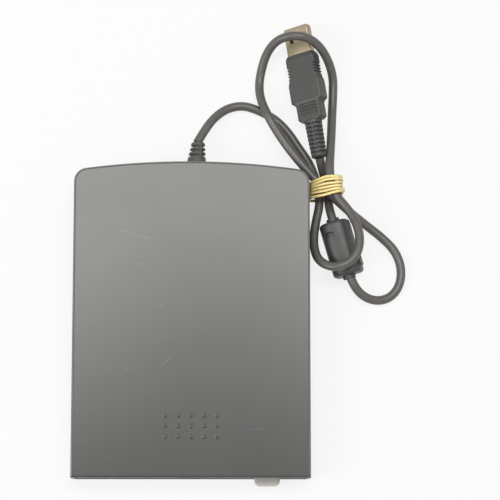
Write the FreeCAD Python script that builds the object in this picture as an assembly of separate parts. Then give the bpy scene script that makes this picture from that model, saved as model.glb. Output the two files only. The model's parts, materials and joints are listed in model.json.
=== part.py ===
import FreeCAD, Part
import math
import os

V = FreeCAD.Vector

# A slim portable floppy disk drive with a fixed lead. Millimetres, +Z up, -Y is the front with the disk slot.
# The origin is the middle of the drive's own footprint, on the surface that its feet stand on.

# ---- making solids ----
TINY = 1e-6
CLEAR = 1.0
SUNK = 0.2

# ---- case ----
CASE_W = 104.0
CASE_L = 139.2
CASE_TOP = 18.4
FOOT_H = 1.0
WALL = 1.6
PLATE_T = 1.5
REAR_BOW = 3.95
REAR_CORNER_R = 6.0
TOP_EDGE_R = 1.0
SPLIT_Z = 9.0
LIP_T = 0.7
LIP_H = 1.0
FIT_GAP = 0.05
BUTTON_PROUD = 3.2
CASE_BOSS_R = 3.0
CASE_BOSS_HOLE = 6.0
CASE_POST_R = 3.4
MOUNT_POST_R = 2.0
BRIDGE_POST_R = 2.4
FOOT_R = 5.0
FOOT_SUNK = 0.4
FOOT_GAP = 0.1
FOOT_EDGE_R = 0.4
FOOT_X = 43.0
FOOT_YS = (-57.6, 49.4)
LABEL_HALF_W = 30.0
LABEL_HALF_L = 20.0
LABEL_SUNK = 0.3

FRONT_Y = -(CASE_L + BUTTON_PROUD) / 2 + BUTTON_PROUD
REAR_Y = FRONT_Y + CASE_L
HALF_W = CASE_W / 2
FLOOR_TOP = FOOT_H + PLATE_T
ROOF_UNDER = CASE_TOP - PLATE_T

# ---- raised dots on the lid ----
DOT_COLUMNS = 5
DOT_ROWS = 3
DOT_PITCH_X = 5.62
DOT_PITCH_Y = 4.56
DOT_MIDDLE = (0.0, -45.6)
DOT_R = 1.2
DOT_H = 0.45

# ---- front bezel, slot, flap, button ----
BEZEL_T = 2.4
BEZEL_INSET = 0.3
BEZEL_SIDE_GAP = 0.2
BEZEL_LOW_GAP = 0.1
BEZEL_EDGE_R = 0.3
SLOT_FLARE = 0.6
SLOT_FLARE_DEPTH = 0.8
EAR_IN = 47.6
EAR_OUT = 49.6
EAR_REACH = 1.2
EAR_LOW = 1.3
SLOT_HALF_W = 45.6
SLOT_LOW = 9.0
SLOT_HIGH = 13.4
THUMB_R = 15.0
THUMB_DEPTH = 1.2
THUMB_DROP = 2.4
FLAP_T = 0.8
FLAP_LOW = 8.8
FLAP_PIN_R = 0.6
FLAP_KNUCKLE_R = 1.1
FLAP_AXIS_Z = 14.4
FLAP_SIDE = 0.3
FLAP_EDGE_R = 0.3
FLAP_GAP_DEPTH = 1.4
FLAP_GAP_XS = (-24.0, 0.0, 24.0)
FLAP_GAP_HALF = 6.0
FLAP_PIN_FIT = 0.03
FLAP_SPRING_L = 6.0
FLAP_SPRING_WIRE_R = 0.12
FLAP_SPRING_GAP = 0.3
FLAP_SPRING_TURNS = 12
BUTTON_X = 33.4
BUTTON_W = 11.0
BUTTON_LOW = 3.4
BUTTON_HIGH = 7.8
BUTTON_R = 0.6
BUTTON_CORNER_R = 2.2
BUTTON_SIDE_WALL = 1.4
BUTTON_WALL = 1.2
BUTTON_FACE_T = 3.0
LENS_X = -33.4
LENS_W = 5.0
LENS_H = 1.8
LENS_Z = 5.6
LENS_PROUD = 0.1
LENS_TAIL = 2.0
LENS_FLANGE = 0.6
LENS_FLANGE_T = 0.8
LENS_EDGE_R = 0.3

BEZEL_FRONT = FRONT_Y + BEZEL_INSET
BEZEL_BACK = BEZEL_FRONT + BEZEL_T
FLAP_AXIS_Y = BEZEL_BACK + FLAP_KNUCKLE_R + 0.3
BUTTON_GAP = 0.3

# ---- motion of the loading gear ----
SLIDE_TRAVEL = 3.8
SLIDE_OVER = 0.5
HOLDER_DROP = 2.4
DROP_PER_MM = HOLDER_DROP / SLIDE_TRAVEL

# ---- chassis ----
SHEET = 0.8
CHASSIS_HALF_W = 48.0
CHASSIS_FRONT = -58.6
CHASSIS_REAR = 53.0
CHASSIS_LOW = 4.5
CHASSIS_FLOOR_T = 0.7
CHASSIS_TOP = 16.0
COVER_T = 0.4
WINDOW_X0 = -13.0
WINDOW_X1 = 19.9
WINDOW_Y0 = 9.4
WINDOW_Y1 = 44.6
MOUNT_X = 45.0
MOUNT_YS = (-50.6, 45.4)
CHASSIS_BOSS_R = 1.8
REAR_GAP = (-34.0, -10.0, 10.5)
REAR_GAP_SILL = 0.8
COVER_SETBACK = 0.5
COVER_WINDOW = (9.0, 13.4, 47.4)
COVER_SLOT = (9.0, -36.6, -32.6)
COVER_X = 26.0
COVER_HOLE_R = 4.0
COVER_HOLE_Y = 21.4
CHASSIS_FLOOR_TOP = CHASSIS_LOW + CHASSIS_FLOOR_T

# ---- slide plate and disk holder ----
SLIDE_T = 0.5
SLIDE_LOW = 15.1
FLANGE_T = 0.6
FLANGE_IN = 46.3
FLANGE_BOTTOM = 7.0
SLIDE_FRONT = -58.6
SLIDE_REAR = 35.4
SLIDE_BRIDGE_REAR = -28.6
SLIDE_RAIL_IN = 34.0
SLIDE_WINDOW = (22.0, -50.6, -36.6)
HOLDER_T = 0.5
HOLDER_SIDE_T = 0.6
HOLDER_HALF_W = 46.0
HOLDER_FRONT = -57.6
HOLDER_REAR = 33.4
HOLDER_LOW = 8.6
HOLDER_ROOF = 13.3
HOLDER_LEDGE = 6.4
STOP_IN = 30.0
STOP_OUT = 36.0
HEAD_WINDOW_HALF = 10.5
HEAD_WINDOW_Y0 = 4.4
CAM_PIN_R = 0.8
CAM_SLOT_R = 1.1
CAM_PIN_YS = (-43.6, 19.4)
CAM_PIN_Z = 11.3
CAM_PIN_END = 47.9
SLIDE_TOP = SLIDE_LOW + SLIDE_T
FLANGE_OUT = FLANGE_IN + FLANGE_T
DISK_STOP_Y = 28.2

# ---- button leg and slide spring ----
LEG_Y = -61.2
LEG_T = 1.0
LEG_ARM_TOP = 12.6
LEG_LIFT = 0.2
LEG_INSET = 1.0
SPRING_X = 49.2
SPRING_Z = 12.0
SPRING_R = 0.85
SPRING_WIRE_R = 0.15
SPRING_FRONT = -8.6
SPRING_BACK = 6.6
SPRING_TURNS = 12
SPRING_TAB_T = 0.8
SPRING_TAB_OUT = 50.1
FIXED_TAB_HALF = 1.6
MOVING_TAB_HALF = 1.2
TAB_SIDE = 0.4
SPRING_GAP = 0.6

# ---- shutter lever ----
LEVER_PIVOT = (-38.0, 27.4)
LEVER_R = 24.0
LEVER_REST = math.radians(-55.0)
LEVER_SWING = math.radians(53.0)
LEVER_LOW = 13.9
LEVER_T = 0.5
LEVER_HALF_W = 2.6
LEVER_PIN_R = 1.2
LEVER_PIN_END = 9.6
LEVER_SLOT_GAP = 0.4
LEVER_NOSE = 0.7
LEVER_EYE_R = 3.2
RIVET_R = 1.2
RIVET_HEAD_R = 2.2
RIVET_HEAD_T = 0.2
RIVET_FOOT_T = 0.3
RIVET_HEAD_GAP = 0.02

# ---- spindle ----
SPINDLE_Y = -12.0
BOARD_LOW = 3.3
BOARD_T = 0.8
BOARD_TOP = BOARD_LOW + BOARD_T
MOTOR_BOARD = (-42.0, 42.0, -58.1, 8.9)
MOUNT_PASS_R = 2.3
ROTOR_R = 20.0
ROTOR_TOP = 6.2
ROTOR_LOW = 4.6
ROTOR_PLATE_T = 0.5
ROTOR_RIM_T = 0.8
MAGNET_T = 2.1
CHUCK_R = 12.0
CHUCK_TOP = 6.6
ROTOR_HOLES = 6
ROTOR_HOLE_R = 1.6
ROTOR_HOLE_AT = 15.5
SPIGOT_R = 1.95
SPIGOT_TOP = 8.3
SHAFT_R = 1.5
SHAFT_LOW = 2.9
RUNNING_FIT = 0.04
BEARING_R = 3.2
BEARING_LOW = 2.7
BEARING_TOP = 5.4
BEARING_FLANGE_R = 4.6
BEARING_FLANGE_T = 0.5
BEARING_CUP_T = 0.15
DRIVE_PIN_R = 1.0
DRIVE_PIN_AT = 9.8
DRIVE_PIN_TOP = 7.9
DRIVE_PIN_EDGE_R = 0.5
SPIGOT_CHAMFER = 0.4
COIL_COUNT = 12
COIL_IN = 8.0
COIL_OUT = 15.6
COIL_LOW = BOARD_TOP
COIL_TOP = 5.2
COIL_FILL = 0.86
COIL_HOLE_R = 1.1
CHASSIS_MOTOR_HOLE_R = 21.0

# ---- heads: the two heads meet at a height of HEAD_PLANE when a disk is loaded ----
HEAD_TRACK_0_R = 39.5
HEAD_TRACK_0 = SPINDLE_Y + HEAD_TRACK_0_R
HEAD_PLANE = 8.35
HEAD_GAP = 0.1
HEAD_HALF_X = 1.6
HEAD_HALF_Y = 2.0
ARM_PIN_Y = 49.4
ARM_PIN_Z = 10.1
ARM_PIN_R = 0.8
ARM_HALF_T = 0.4
ARM_LIFT = math.radians(11.1)
CARRIAGE_LOW = 3.4
CARRIAGE_TOP = 5.4
CARRIAGE_X0 = -8.0
CARRIAGE_X1 = 14.4
CARRIAGE_Y0 = 32.4
CARRIAGE_Y1 = 51.4
CARRIAGE_ROD_HALF = 2.2
CARRIAGE_ROD_TOP = 6.5
NOSE_HALF = 4.2
NOSE_FRONT_GAP = 0.3
POST_HALF = 2.6
POST_TOP = 7.6
TOWER_IN = 5.6
TOWER_OUT = 7.4
TOWER_HALF_L = 1.9
TOWER_RISE = 1.7
FOLLOWER_Y0 = 42.6
FOLLOWER_Y1 = 43.7
FOLLOWER_T = 1.4
FOLLOWER_W = 2.0
FOLLOWER_RISE = 1.2
FOLLOWER_GAP = 0.3
ARM_HEAD_HALF = 3.4
ARM_HALF_W = 4.8
ARM_HEAD_GAP = 0.2
ARM_TAPER_L = 4.0
ARM_SLEEVE_R = 1.5
ARM_RIB_T = 0.5
ARM_RIB_FRONT = 4.0
ARM_RIB_BACK = 3.0
GUIDE_X = 11.0
GUIDE_Z = 4.9
GUIDE_R = 1.0
GUIDE_FRONT = 10.4
GUIDE_BACK = 52.2
CLAMP_HALF_W = 2.4
CLAMP_L = 4.0
CLAMP_DROP = 1.7
CLAMP_TOP = 6.4
CLAMP_WING_L = 2.5
CLAMP_WING_TOP = 6.2
CLAMP_ROTOR_GAP = 0.6
SCREW_X = 21.0
SCREW_Z = 9.0
SCREW_R = 1.2
SCREW_CORE_R = 0.95
SCREW_LEAD = 3.75
SCREW_FRONT = 29.1
SCREW_TIP = 1.0
SCREW_TAIL = 4.0
THREAD_SETBACK = 0.2
THREAD_GAP = 1.0
THREAD_SUNK = 0.02
SCREW_POST_X0 = 20.0
SCREW_POST_X1 = 23.6
SCREW_POST_T = 0.7
SCREW_POST_GAP = 0.1
SCREW_POST_RISE = 1.7
SCREW_FOOT_L = 3.4
SCREW_FOOT_T = 0.6
STEPPER_R = 5.5
STEPPER_FRONT = 45.0
STEPPER_NOSE_R = 2.6
STEPPER_NOSE_L = 0.5
STEPPER_BORE_GAP = 0.1
STEPPER_BORE_L = 5.0
STEPPER_PLUG = (4.5, 3.0, 6.2)
STEPPER_PLUG_FRONT = 2.0
STEPPER_PLUG_BACK = 1.0

# ---- boards at the back ----
BRIDGE_X0 = -30.0
BRIDGE_X1 = 34.0
BRIDGE_Y0 = 54.6
BRIDGE_Y1 = 66.4
BRIDGE_LOW = 6.0
BRIDGE_T = 1.0
BRIDGE_TOP = BRIDGE_LOW + BRIDGE_T
BRIDGE_SOCKET_Y = BRIDGE_Y0 + 1.2
BRIDGE_POSTS = ((-27.0, 63.4), (30.0, 59.4))
CASE_SCREW_SPOTS = ((-43.0, 60.0), (43.0, 60.0))
BOARD_SCREW_SPOTS = ((-34.0, -38.6), (34.0, -38.6), (-34.0, 4.4), (34.0, 4.4), (-36.0, 35.4), (-38.4, 47.4))
MOTOR_BOARD_SCREWS = 4
MAIN_BOARD = (-41.5, -14.5, 9.9, 51.9)
# chips on each board: x0, x1, y0, y1, height
MAIN_CHIPS = ((-37.0, -28.0, 15.4, 24.4, 0.7), (-26.0, -20.0, 17.4, 22.4, 0.5), (-26.0, -18.0, 27.4, 32.4, 0.5))
MAIN_ROW = (6, -40.0, 3.6, 1.6, 11.4, 12.3, 0.4)
BRIDGE_CHIPS = ((9.0, 18.0, 56.2, 65.2, 1.2), (-9.0, -2.6, 59.8, 65.8, 3.2))
BRIDGE_CRYSTAL = (-1.0, 3.0, 58.0, 65.0, 2.4)
BRIDGE_CRYSTAL_R = 1.0
BRIDGE_ROW = (3, 20.0, 2.6, 1.6, 55.8, 56.6, 0.6)
BRIDGE_CANS = ((22.0, 63.9), (26.4, 63.9))
CAN_R = 1.8
CAN_H = 3.4
BRIDGE_SOCKET = (-29.0, -14.0, 3.4, 1.6)
CABLE_X0 = -28.0
CABLE_X1 = -15.0
CABLE_T = 0.25
CABLE_START_Y = 45.4
CABLE_GAP = 0.8
CABLE_LIFT = 1.0
WIRE_R = 0.3
WIRE_COUNT = 4
WIRE_SOCKET_X = -8.1
WIRE_SOCKET_Y = 65.8
WIRE_SOCKET_PITCH = 1.5
WIRE_PITCH = 0.8
WIRE_BEND_Y = 67.0

# ---- sensor switches: x, y of each plunger ----
SENSORS = (
    ("disk_in_plunger", 37.0, 13.4),
    ("write_protect_plunger", 37.0, -53.6),
    ("density_plunger", -37.0, -53.6),
)
SENSOR_HALF = 1.9
SENSOR_TOP = 6.5
SENSOR_BORE_R = 1.0
PLUNGER_R = 0.93
PLUNGER_LOW = 5.9
PLUNGER_TOP = 8.0
SENSOR_PIT = 4.4
SENSOR_GAP = 0.3
PLUNGER_EDGE_R = 0.5

# ---- screws ----
SCREW_SHANK_R = 0.98
SCREW_HOLE_R = 1.0
SCREW_HEAD_R = 1.9
SCREW_HEAD_T = 0.8
SCREW_PASS = 0.2
SCREW_HEAD_GAP = 0.3
SCREW_CROSS_W = 2.2
SCREW_BLADE_W = 0.5
SCREW_CROSS_DEPTH = 0.45
CASE_SCREW_SEAT = 1.0
CASE_SCREW_L = 9.0
CHASSIS_SCREW_L = 3.2
BRIDGE_SCREW_L = 3.0
BOARD_SCREW_L = 1.7
BOARD_SCREW_HEAD_R = 1.7
BOARD_SCREW_HEAD_T = 0.6

# ---- lead ----
CORD_R = 2.0
RELIEF_X = 2.3
RELIEF_Z = SPLIT_Z
RELIEF_NECK_R = 3.2
RELIEF_FLANGE_R = 4.8
RELIEF_BASE_R = 4.4
RELIEF_TIP_R = 3.0
RELIEF_TIP_Y = 81.4
RELIEF_GROOVE_YS = (74.7, 76.8, 78.8)
RELIEF_GROOVE_W = 0.9
RELIEF_GROOVE_DEPTH = 0.9
RELIEF_WEB_X = 3.8
RELIEF_WEB_W = 1.2
RELIEF_INSIDE = REAR_Y - WALL - 1.4
RELIEF_FLANGE_T = 1.2
RELIEF_OUTSIDE = REAR_Y + 0.1

# ---- plug: from PLUG_END it leans to -x, dips and lies on one edge, rolled by PLUG_ROLL about its length ----
PLUG_END = V(57.0, 75.0, 8.8)
PLUG_LEAN = math.radians(9.2)
PLUG_DIP = math.radians(2.4)
PLUG_ROLL = math.radians(31.0)
PLUG_W = 14.2
PLUG_T = 7.2
PLUG_CORNER_R = 1.2
BOOT_L = 17.1
BOOT_THIN_R = 3.5
BOOT_WIDE_R = 4.0
BOOT_GROOVES = 8
BOOT_GROOVE_DEPTH = 0.9
BOOT_WEB_X = -0.8
BOOT_WEB_W = 1.2
NECK_L = 8.0
NECK_W = 12.0
NECK_T = 6.4
NECK_GROOVES = 4
NECK_GROOVE_FIRST = 3.0
NECK_GROOVE_PITCH = 1.46
NECK_GROOVE_W = 0.6
NECK_GROOVE_INSET = 1.0
NECK_GROOVE_DEPTH = 0.4
BODY_L = 23.4
BODY_PAD_L = 11.8
BODY_PAD_T = 4.4
BODY_PAD_PROUD = 0.7
BODY_NOTCHES = 4
BODY_NOTCH_LAST = 6.3
BODY_NOTCH_PITCH = 1.4
SHELL_SUNK = 3.0
SHELL_L = 12.7 + SHELL_SUNK
SHELL_W = 12.0
SHELL_T = 4.5
SHELL_WALL = 0.3
SHELL_BACK = 0.4
SHELL_WINDOW = 2.3
SHELL_WINDOW_X = 2.6
SHELL_WINDOW_Z = 8.4
TONGUE_W = 11.2
TONGUE_T = 1.8
TONGUE_SHORT = 1.4
CONTACT_XS = (-3.5, -1.0, 1.0, 3.5)
CONTACT_W = 1.0
CONTACT_T = 0.15
CONTACT_L = 10.6

# ---- ferrite: its bore follows the lead from FERRITE_LOW to FERRITE_HIGH ----
FERRITE_Z = 7.2
FERRITE_LOW = V(70.3, 20.6, FERRITE_Z)
FERRITE_HIGH = V(62.7, 47.3, FERRITE_Z)
FERRITE_W = 13.2
FERRITE_T = 12.4
FERRITE_CORNER_R = 3.0
FERRITE_END_R = 1.6
FERRITE_ROLL = math.radians(18.0)
FERRITE_CORE_R = 4.8
FERRITE_CORE_GAP = 0.1
FERRITE_BORE_R = 2.3
FERRITE_WALL = 1.3
FERRITE_SEAM = 0.08
FERRITE_COLLAR_R = 2.9
FERRITE_COLLAR_L = 1.5
# snap latch at one side, and the oval release pocket in the upper half
LATCH_PROUD = 0.8
LATCH_HALF_W = 2.6
LATCH_Z = (-9.6, -2.8)
LATCH_HOLE = 1.5
POCKET_X = 2.4
POCKET_Z = 6.8
POCKET_L = 2.8
POCKET_W = 1.8
POCKET_DEPTH = 0.7

# ---- rubber band ----
BAND_FRONT = 57.2
BAND_BACK = 64.0
BAND_T = 0.9
BAND_LEFT = 53.3
BAND_RIGHT = 66.8
BAND_TOP = 14.8
BAND_SHOULDER = 10.6
BAND_FACETS = (1.0, 2.4, 1.6, 6.6)

# The lead's route, from the strain relief to the plug, with runs of 5 to 12 mm.
CORD_ROUTE = (
    (RELIEF_X, RELIEF_TIP_Y, RELIEF_Z),
    (6.2, 88.5, 7.8), (11.0, 94.9, 4.6), (16.7, 99.0, 2.3), (23.3, 100.1, 2.0), (30.5, 97.7, 2.0),
    (37.7, 93.7, 2.0), (43.4, 87.8, 2.0), (47.9, 80.9, 2.0), (52.2, 74.7, 2.3), (55.0, 68.2, 3.2),
    # beside the case, then round over the ferrite
    (56.6, 61.4, 4.2), (57.3, 54.4, 5.8), (55.6, 47.1, 6.6), (54.3, 40.0, 7.6), (54.3, 33.3, 10.0),
    (55.8, 28.0, 13.6), (59.5, 24.8, 17.0), (64.5, 24.0, 18.9), (69.5, 26.2, 19.1), (73.1, 30.6, 18.6),
    (74.2, 37.2, 17.6), (72.8, 44.1, 16.2), (69.1, 50.7, 14.4), (64.4, 56.3, 13.1),
    # up past the plug and over its metal end
    (61.7, 62.8, 12.4), (61.3, 70.5, 10.8), (62.1, 79.1, 7.2), (62.8, 88.1, 4.0), (63.3, 97.2, 2.2),
    (63.8, 105.8, 2.0), (63.8, 113.6, 2.8), (61.4, 120.2, 6.6), (57.2, 125.5, 12.0), (51.2, 128.5, 16.4),
    (44.1, 129.2, 16.6), (37.7, 127.8, 12.6), (33.5, 123.3, 7.4), (31.3, 116.7, 3.6), (30.1, 109.4, 2.6),
    # down over the first stretch and through the band again
    (30.8, 102.2, 5.0), (33.4, 95.2, 8.0), (37.2, 88.2, 8.2), (41.8, 81.2, 8.0), (47.0, 74.4, 8.0),
    (52.6, 67.8, 8.4), (58.4, 61.6, 8.6), (64.6, 55.8, 8.0), (71.1, 50.4, 5.4), (78.2, 45.3, 2.6),
    # the wide loop back to the ferrite
    (85.3, 39.9, 2.0), (91.2, 33.9, 2.0), (94.0, 26.3, 2.0), (93.3, 18.5, 2.0), (89.1, 12.7, 2.0),
    (82.3, 10.8, 3.0), (75.2, 13.3, 5.4), (FERRITE_LOW.x, FERRITE_LOW.y, FERRITE_Z),
    # out of the ferrite's upper end and under the crossing stretch to the plug
    (FERRITE_HIGH.x, FERRITE_HIGH.y, FERRITE_Z), (61.3, 53.5, 4.8), (61.1, 59.5, 3.1), (60.0, 65.2, 3.3),
    (58.3, 70.7, 6.0),
    (PLUG_END.x, PLUG_END.y, PLUG_END.z),
)


# ---------------------------------------------------------------- shapes

def box(x0, x1, y0, y1, z0, z1):
    """Box between two corners."""
    return Part.makeBox(x1 - x0, y1 - y0, z1 - z0, V(x0, y0, z0))


def side_box(side, x0, x1, y0, y1, z0, z1):
    """Box on the side of the middle plane that side names, with x0 and x1 measured outwards."""
    low, high = sorted((side * x0, side * x1))
    return box(low, high, y0, y1, z0, z1)


def rod(radius, start, direction, length):
    """Cylinder from start along direction."""
    return Part.makeCylinder(radius, length, V(*start), V(*direction))


def fuse(shapes):
    """One solid from touching shapes, with coplanar faces merged."""
    result = shapes[0]
    for other in shapes[1:]:
        result = result.fuse(other)
    return result.removeSplitter()


def cut(shape, tools):
    """The shape with every tool taken away."""
    for tool in tools:
        shape = shape.cut(tool)
    return shape


def prism(points, axis, low, high):
    """Straight-sided solid: a polygon of two-number points, drawn across axis and drawn out along it."""
    place = {
        "x": lambda a, b: V(low, a, b),
        "y": lambda a, b: V(a, low, b),
        "z": lambda a, b: V(a, b, low),
    }[axis]
    along = {"x": V(1, 0, 0), "y": V(0, 1, 0), "z": V(0, 0, 1)}[axis]
    corners = [place(a, b) for a, b in points]
    face = Part.Face(Part.makePolygon(corners + corners[:1]))
    return face.extrude(along * (high - low))


def slot_x(y0, z0, y1, z1, radius, x0, x1):
    """Round-ended slot cutter through x0..x1, from (y0, z0) to (y1, z1)."""
    length = math.hypot(y1 - y0, z1 - z0)
    side = V(0, -(z1 - z0) / length * radius, (y1 - y0) / length * radius)
    a = V(x0, y0, z0)
    b = V(x0, y1, z1)
    corners = [a + side, b + side, b - side, a - side, a + side]
    middle = Part.Face(Part.makePolygon(corners)).extrude(V(x1 - x0, 0, 0))
    ends = [rod(radius, (x0, y0, z0), (1, 0, 0), x1 - x0), rod(radius, (x0, y1, z1), (1, 0, 0), x1 - x0)]
    return middle.fuse(ends[0]).fuse(ends[1])


def coil(radius, wire_r, length, turns, start, direction):
    """Helical spring: a round wire of radius wire_r wound at radius, from start along direction."""
    helix = Part.makeHelix(length / turns, length, radius)
    ring = Part.Wire(Part.makeCircle(wire_r, V(radius, 0, 0), V(0, 1, 0)))
    spring = Part.Wire(helix).makePipeShell([ring], True, True)
    spring.Placement = FreeCAD.Placement(V(*start), FreeCAD.Rotation(V(0, 0, 1), V(*direction)))
    return spring


def screw(x, y, z, length, up=1):
    """Pan-head screw: head below z and shank above it, or the other way round with up=-1."""
    head = rod(SCREW_HEAD_R, (x, y, z), (0, 0, -up), SCREW_HEAD_T)
    shank = rod(SCREW_SHANK_R, (x, y, z), (0, 0, up), length)
    cross = SCREW_CROSS_W / 2
    blade = SCREW_BLADE_W / 2
    top = z - up * SCREW_HEAD_T
    low, high = sorted((top, top + up * SCREW_CROSS_DEPTH))
    recess = box(x - cross, x + cross, y - blade, y + blade, low, high)
    other = box(x - blade, x + blade, y - cross, y + cross, low, high)
    return cut(fuse([head, shank]), [recess, other])


def rear_y(inset):
    """Highest y of the case outline, moved in by inset."""
    return REAR_Y - inset


def case_prism(inset, z0, z1, front):
    """Solid with the case's plan shape, moved in by inset: straight sides and a bowed rear."""
    half = HALF_W - inset
    crown = rear_y(inset)
    shoulder = crown - REAR_BOW * (half / HALF_W) ** 2
    front_left = V(-half, front, z0)
    front_right = V(half, front, z0)
    rear_right = V(half, shoulder, z0)
    rear_left = V(-half, shoulder, z0)
    edges = [
        Part.LineSegment(front_left, front_right).toShape(),
        Part.LineSegment(front_right, rear_right).toShape(),
        Part.Arc(rear_right, V(0, crown, z0), rear_left).toShape(),
        Part.LineSegment(rear_left, front_left).toShape(),
    ]
    solid = Part.Face(Part.Wire(edges)).extrude(V(0, 0, z1 - z0))
    corners = [e for e in solid.Edges if upright(e) and e.Vertexes[0].Point.y > 0]
    return solid.makeFillet(REAR_CORNER_R - inset, corners)


def upright(edge):
    """True for a straight edge that runs along z."""
    size = edge.BoundBox
    return size.XLength < TINY and size.YLength < TINY and size.ZLength > TINY


def edges_from(shape, z):
    """Edges that lie wholly at height z or above it."""
    return [e for e in shape.Edges if e.BoundBox.ZMin > z - TINY]


def edges_up_to(shape, z):
    """Edges that lie wholly at height z or below it."""
    return [e for e in shape.Edges if e.BoundBox.ZMax < z + TINY]


def edges_in_front(shape, y):
    """Edges that lie wholly at depth y or in front of it."""
    return [e for e in shape.Edges if e.BoundBox.YMax < y + TINY]


# ---------------------------------------------------------------- case

def raised_dots():
    """Spherical caps in a grid; each sphere's centre lies below the lid."""
    sphere_r = (DOT_R ** 2 + DOT_H ** 2) / (2 * DOT_H)
    dots = []
    for row in range(DOT_ROWS):
        for column in range(DOT_COLUMNS):
            x = DOT_MIDDLE[0] + (column - (DOT_COLUMNS - 1) / 2) * DOT_PITCH_X
            y = DOT_MIDDLE[1] + (row - (DOT_ROWS - 1) / 2) * DOT_PITCH_Y
            ball = Part.makeSphere(sphere_r, V(x, y, CASE_TOP + DOT_H - sphere_r))
            slab = box(x - DOT_R, x + DOT_R, y - DOT_R, y + DOT_R, CASE_TOP - SUNK, CASE_TOP + CLEAR)
            dots.append(ball.common(slab))
    return dots


def relief_hole():
    """Cutter for the round hole that the strain relief's neck sits in."""
    start = (RELIEF_X, REAR_Y - WALL - CLEAR, RELIEF_Z)
    return rod(RELIEF_NECK_R + FIT_GAP, start, (0, 1, 0), WALL + 2 * CLEAR)


def top_case():
    """Upper shell: bowed lid with rounded edges, raised dots, and bosses for the case screws."""
    shell = case_prism(0, SPLIT_Z, CASE_TOP, FRONT_Y)
    shell = shell.makeFillet(TOP_EDGE_R, edges_from(shell, CASE_TOP))
    inner = case_prism(WALL, SPLIT_Z - CLEAR, ROOF_UNDER, FRONT_Y - CLEAR)
    rebate = case_prism(WALL - LIP_T - FIT_GAP, SPLIT_Z - CLEAR, SPLIT_Z + LIP_H + FIT_GAP, FRONT_Y - CLEAR)
    shell = cut(shell, [inner, rebate, relief_hole()])
    adds = raised_dots()
    for x, y in CASE_SCREW_SPOTS:
        boss = rod(CASE_BOSS_R, (x, y, SPLIT_Z + SUNK), (0, 0, 1), ROOF_UNDER - SPLIT_Z)
        adds.append(boss.cut(rod(SCREW_HOLE_R, (x, y, SPLIT_Z), (0, 0, 1), CASE_BOSS_HOLE)))
    return fuse([shell] + adds)


def bottom_case():
    """Lower shell: tray with a lip, posts for the chassis, bridge board and case screws, and seats for the feet."""
    shell = case_prism(0, FOOT_H, SPLIT_Z, FRONT_Y)
    shell = shell.makeFillet(TOP_EDGE_R, edges_up_to(shell, FOOT_H))
    lip = case_prism(WALL - LIP_T, SPLIT_Z - CLEAR, SPLIT_Z + LIP_H, FRONT_Y)
    inner = case_prism(WALL, FLOOR_TOP, SPLIT_Z + LIP_H + CLEAR, FRONT_Y - CLEAR)
    shell = cut(fuse([shell, lip]), [inner, relief_hole()])
    posts = [(side * MOUNT_X, y, MOUNT_POST_R, CHASSIS_LOW) for side in (-1, 1) for y in MOUNT_YS]
    holes = [rod(SCREW_HOLE_R, (x, y, FLOOR_TOP - CLEAR), (0, 0, 1), CASE_TOP) for x, y, radius, top in posts]
    for x, y in BRIDGE_POSTS:
        posts.append((x, y, BRIDGE_POST_R, BRIDGE_LOW))
        holes.append(rod(SCREW_HOLE_R, (x, y, FLOOR_TOP), (0, 0, 1), CASE_TOP))
    for x, y in CASE_SCREW_SPOTS:
        posts.append((x, y, CASE_POST_R, SPLIT_Z))
        holes.append(rod(SCREW_HOLE_R + SCREW_PASS, (x, y, 0), (0, 0, 1), CASE_TOP))
        holes.append(rod(SCREW_HEAD_R + SCREW_HEAD_GAP, (x, y, 0), (0, 0, 1), case_screw_seat()))
    for x, y in foot_spots():
        holes.append(rod(FOOT_R + FOOT_GAP, (x, y, 0), (0, 0, 1), FOOT_H + FOOT_SUNK))
    label = box(-LABEL_HALF_W, LABEL_HALF_W, -LABEL_HALF_L, LABEL_HALF_L, 0, FOOT_H + LABEL_SUNK)
    low = FLOOR_TOP - SUNK
    adds = [rod(radius, (x, y, low), (0, 0, 1), top - low) for x, y, radius, top in posts]
    return cut(fuse([shell] + adds), holes + [label])


def case_screw_seat():
    """Height of the shoulder that the case screws' heads pull against."""
    return FLOOR_TOP + CASE_SCREW_SEAT


def foot_spots():
    """Centre of each foot, seen from above."""
    return [(x, y) for x in (-FOOT_X, FOOT_X) for y in FOOT_YS]


def rubber_feet():
    """Four round pads, sunk into seats in the case."""
    feet = []
    for x, y in foot_spots():
        pad = rod(FOOT_R, (x, y, 0), (0, 0, 1), FOOT_H + FOOT_SUNK)
        feet.append(pad.makeFillet(FOOT_EDGE_R, edges_up_to(pad, 0)))
    return Part.makeCompound(feet)


def case_screws():
    """Screws that pull the two shells together from below."""
    return Part.makeCompound([screw(x, y, case_screw_seat(), CASE_SCREW_L) for x, y in CASE_SCREW_SPOTS])


def button_box(grow, front, back):
    """The eject button's block from front to back, larger all round by grow."""
    half = BUTTON_W / 2 + grow
    return box(BUTTON_X - half, BUTTON_X + half, front, back, BUTTON_LOW - grow, BUTTON_HIGH + grow)


def lens_box(grow, front, back):
    """The light pipe's block from front to back, larger all round by grow."""
    half = LENS_W / 2 + grow
    tall = LENS_H / 2 + grow
    return box(LENS_X - half, LENS_X + half, front, back, LENS_Z - tall, LENS_Z + tall)


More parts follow.
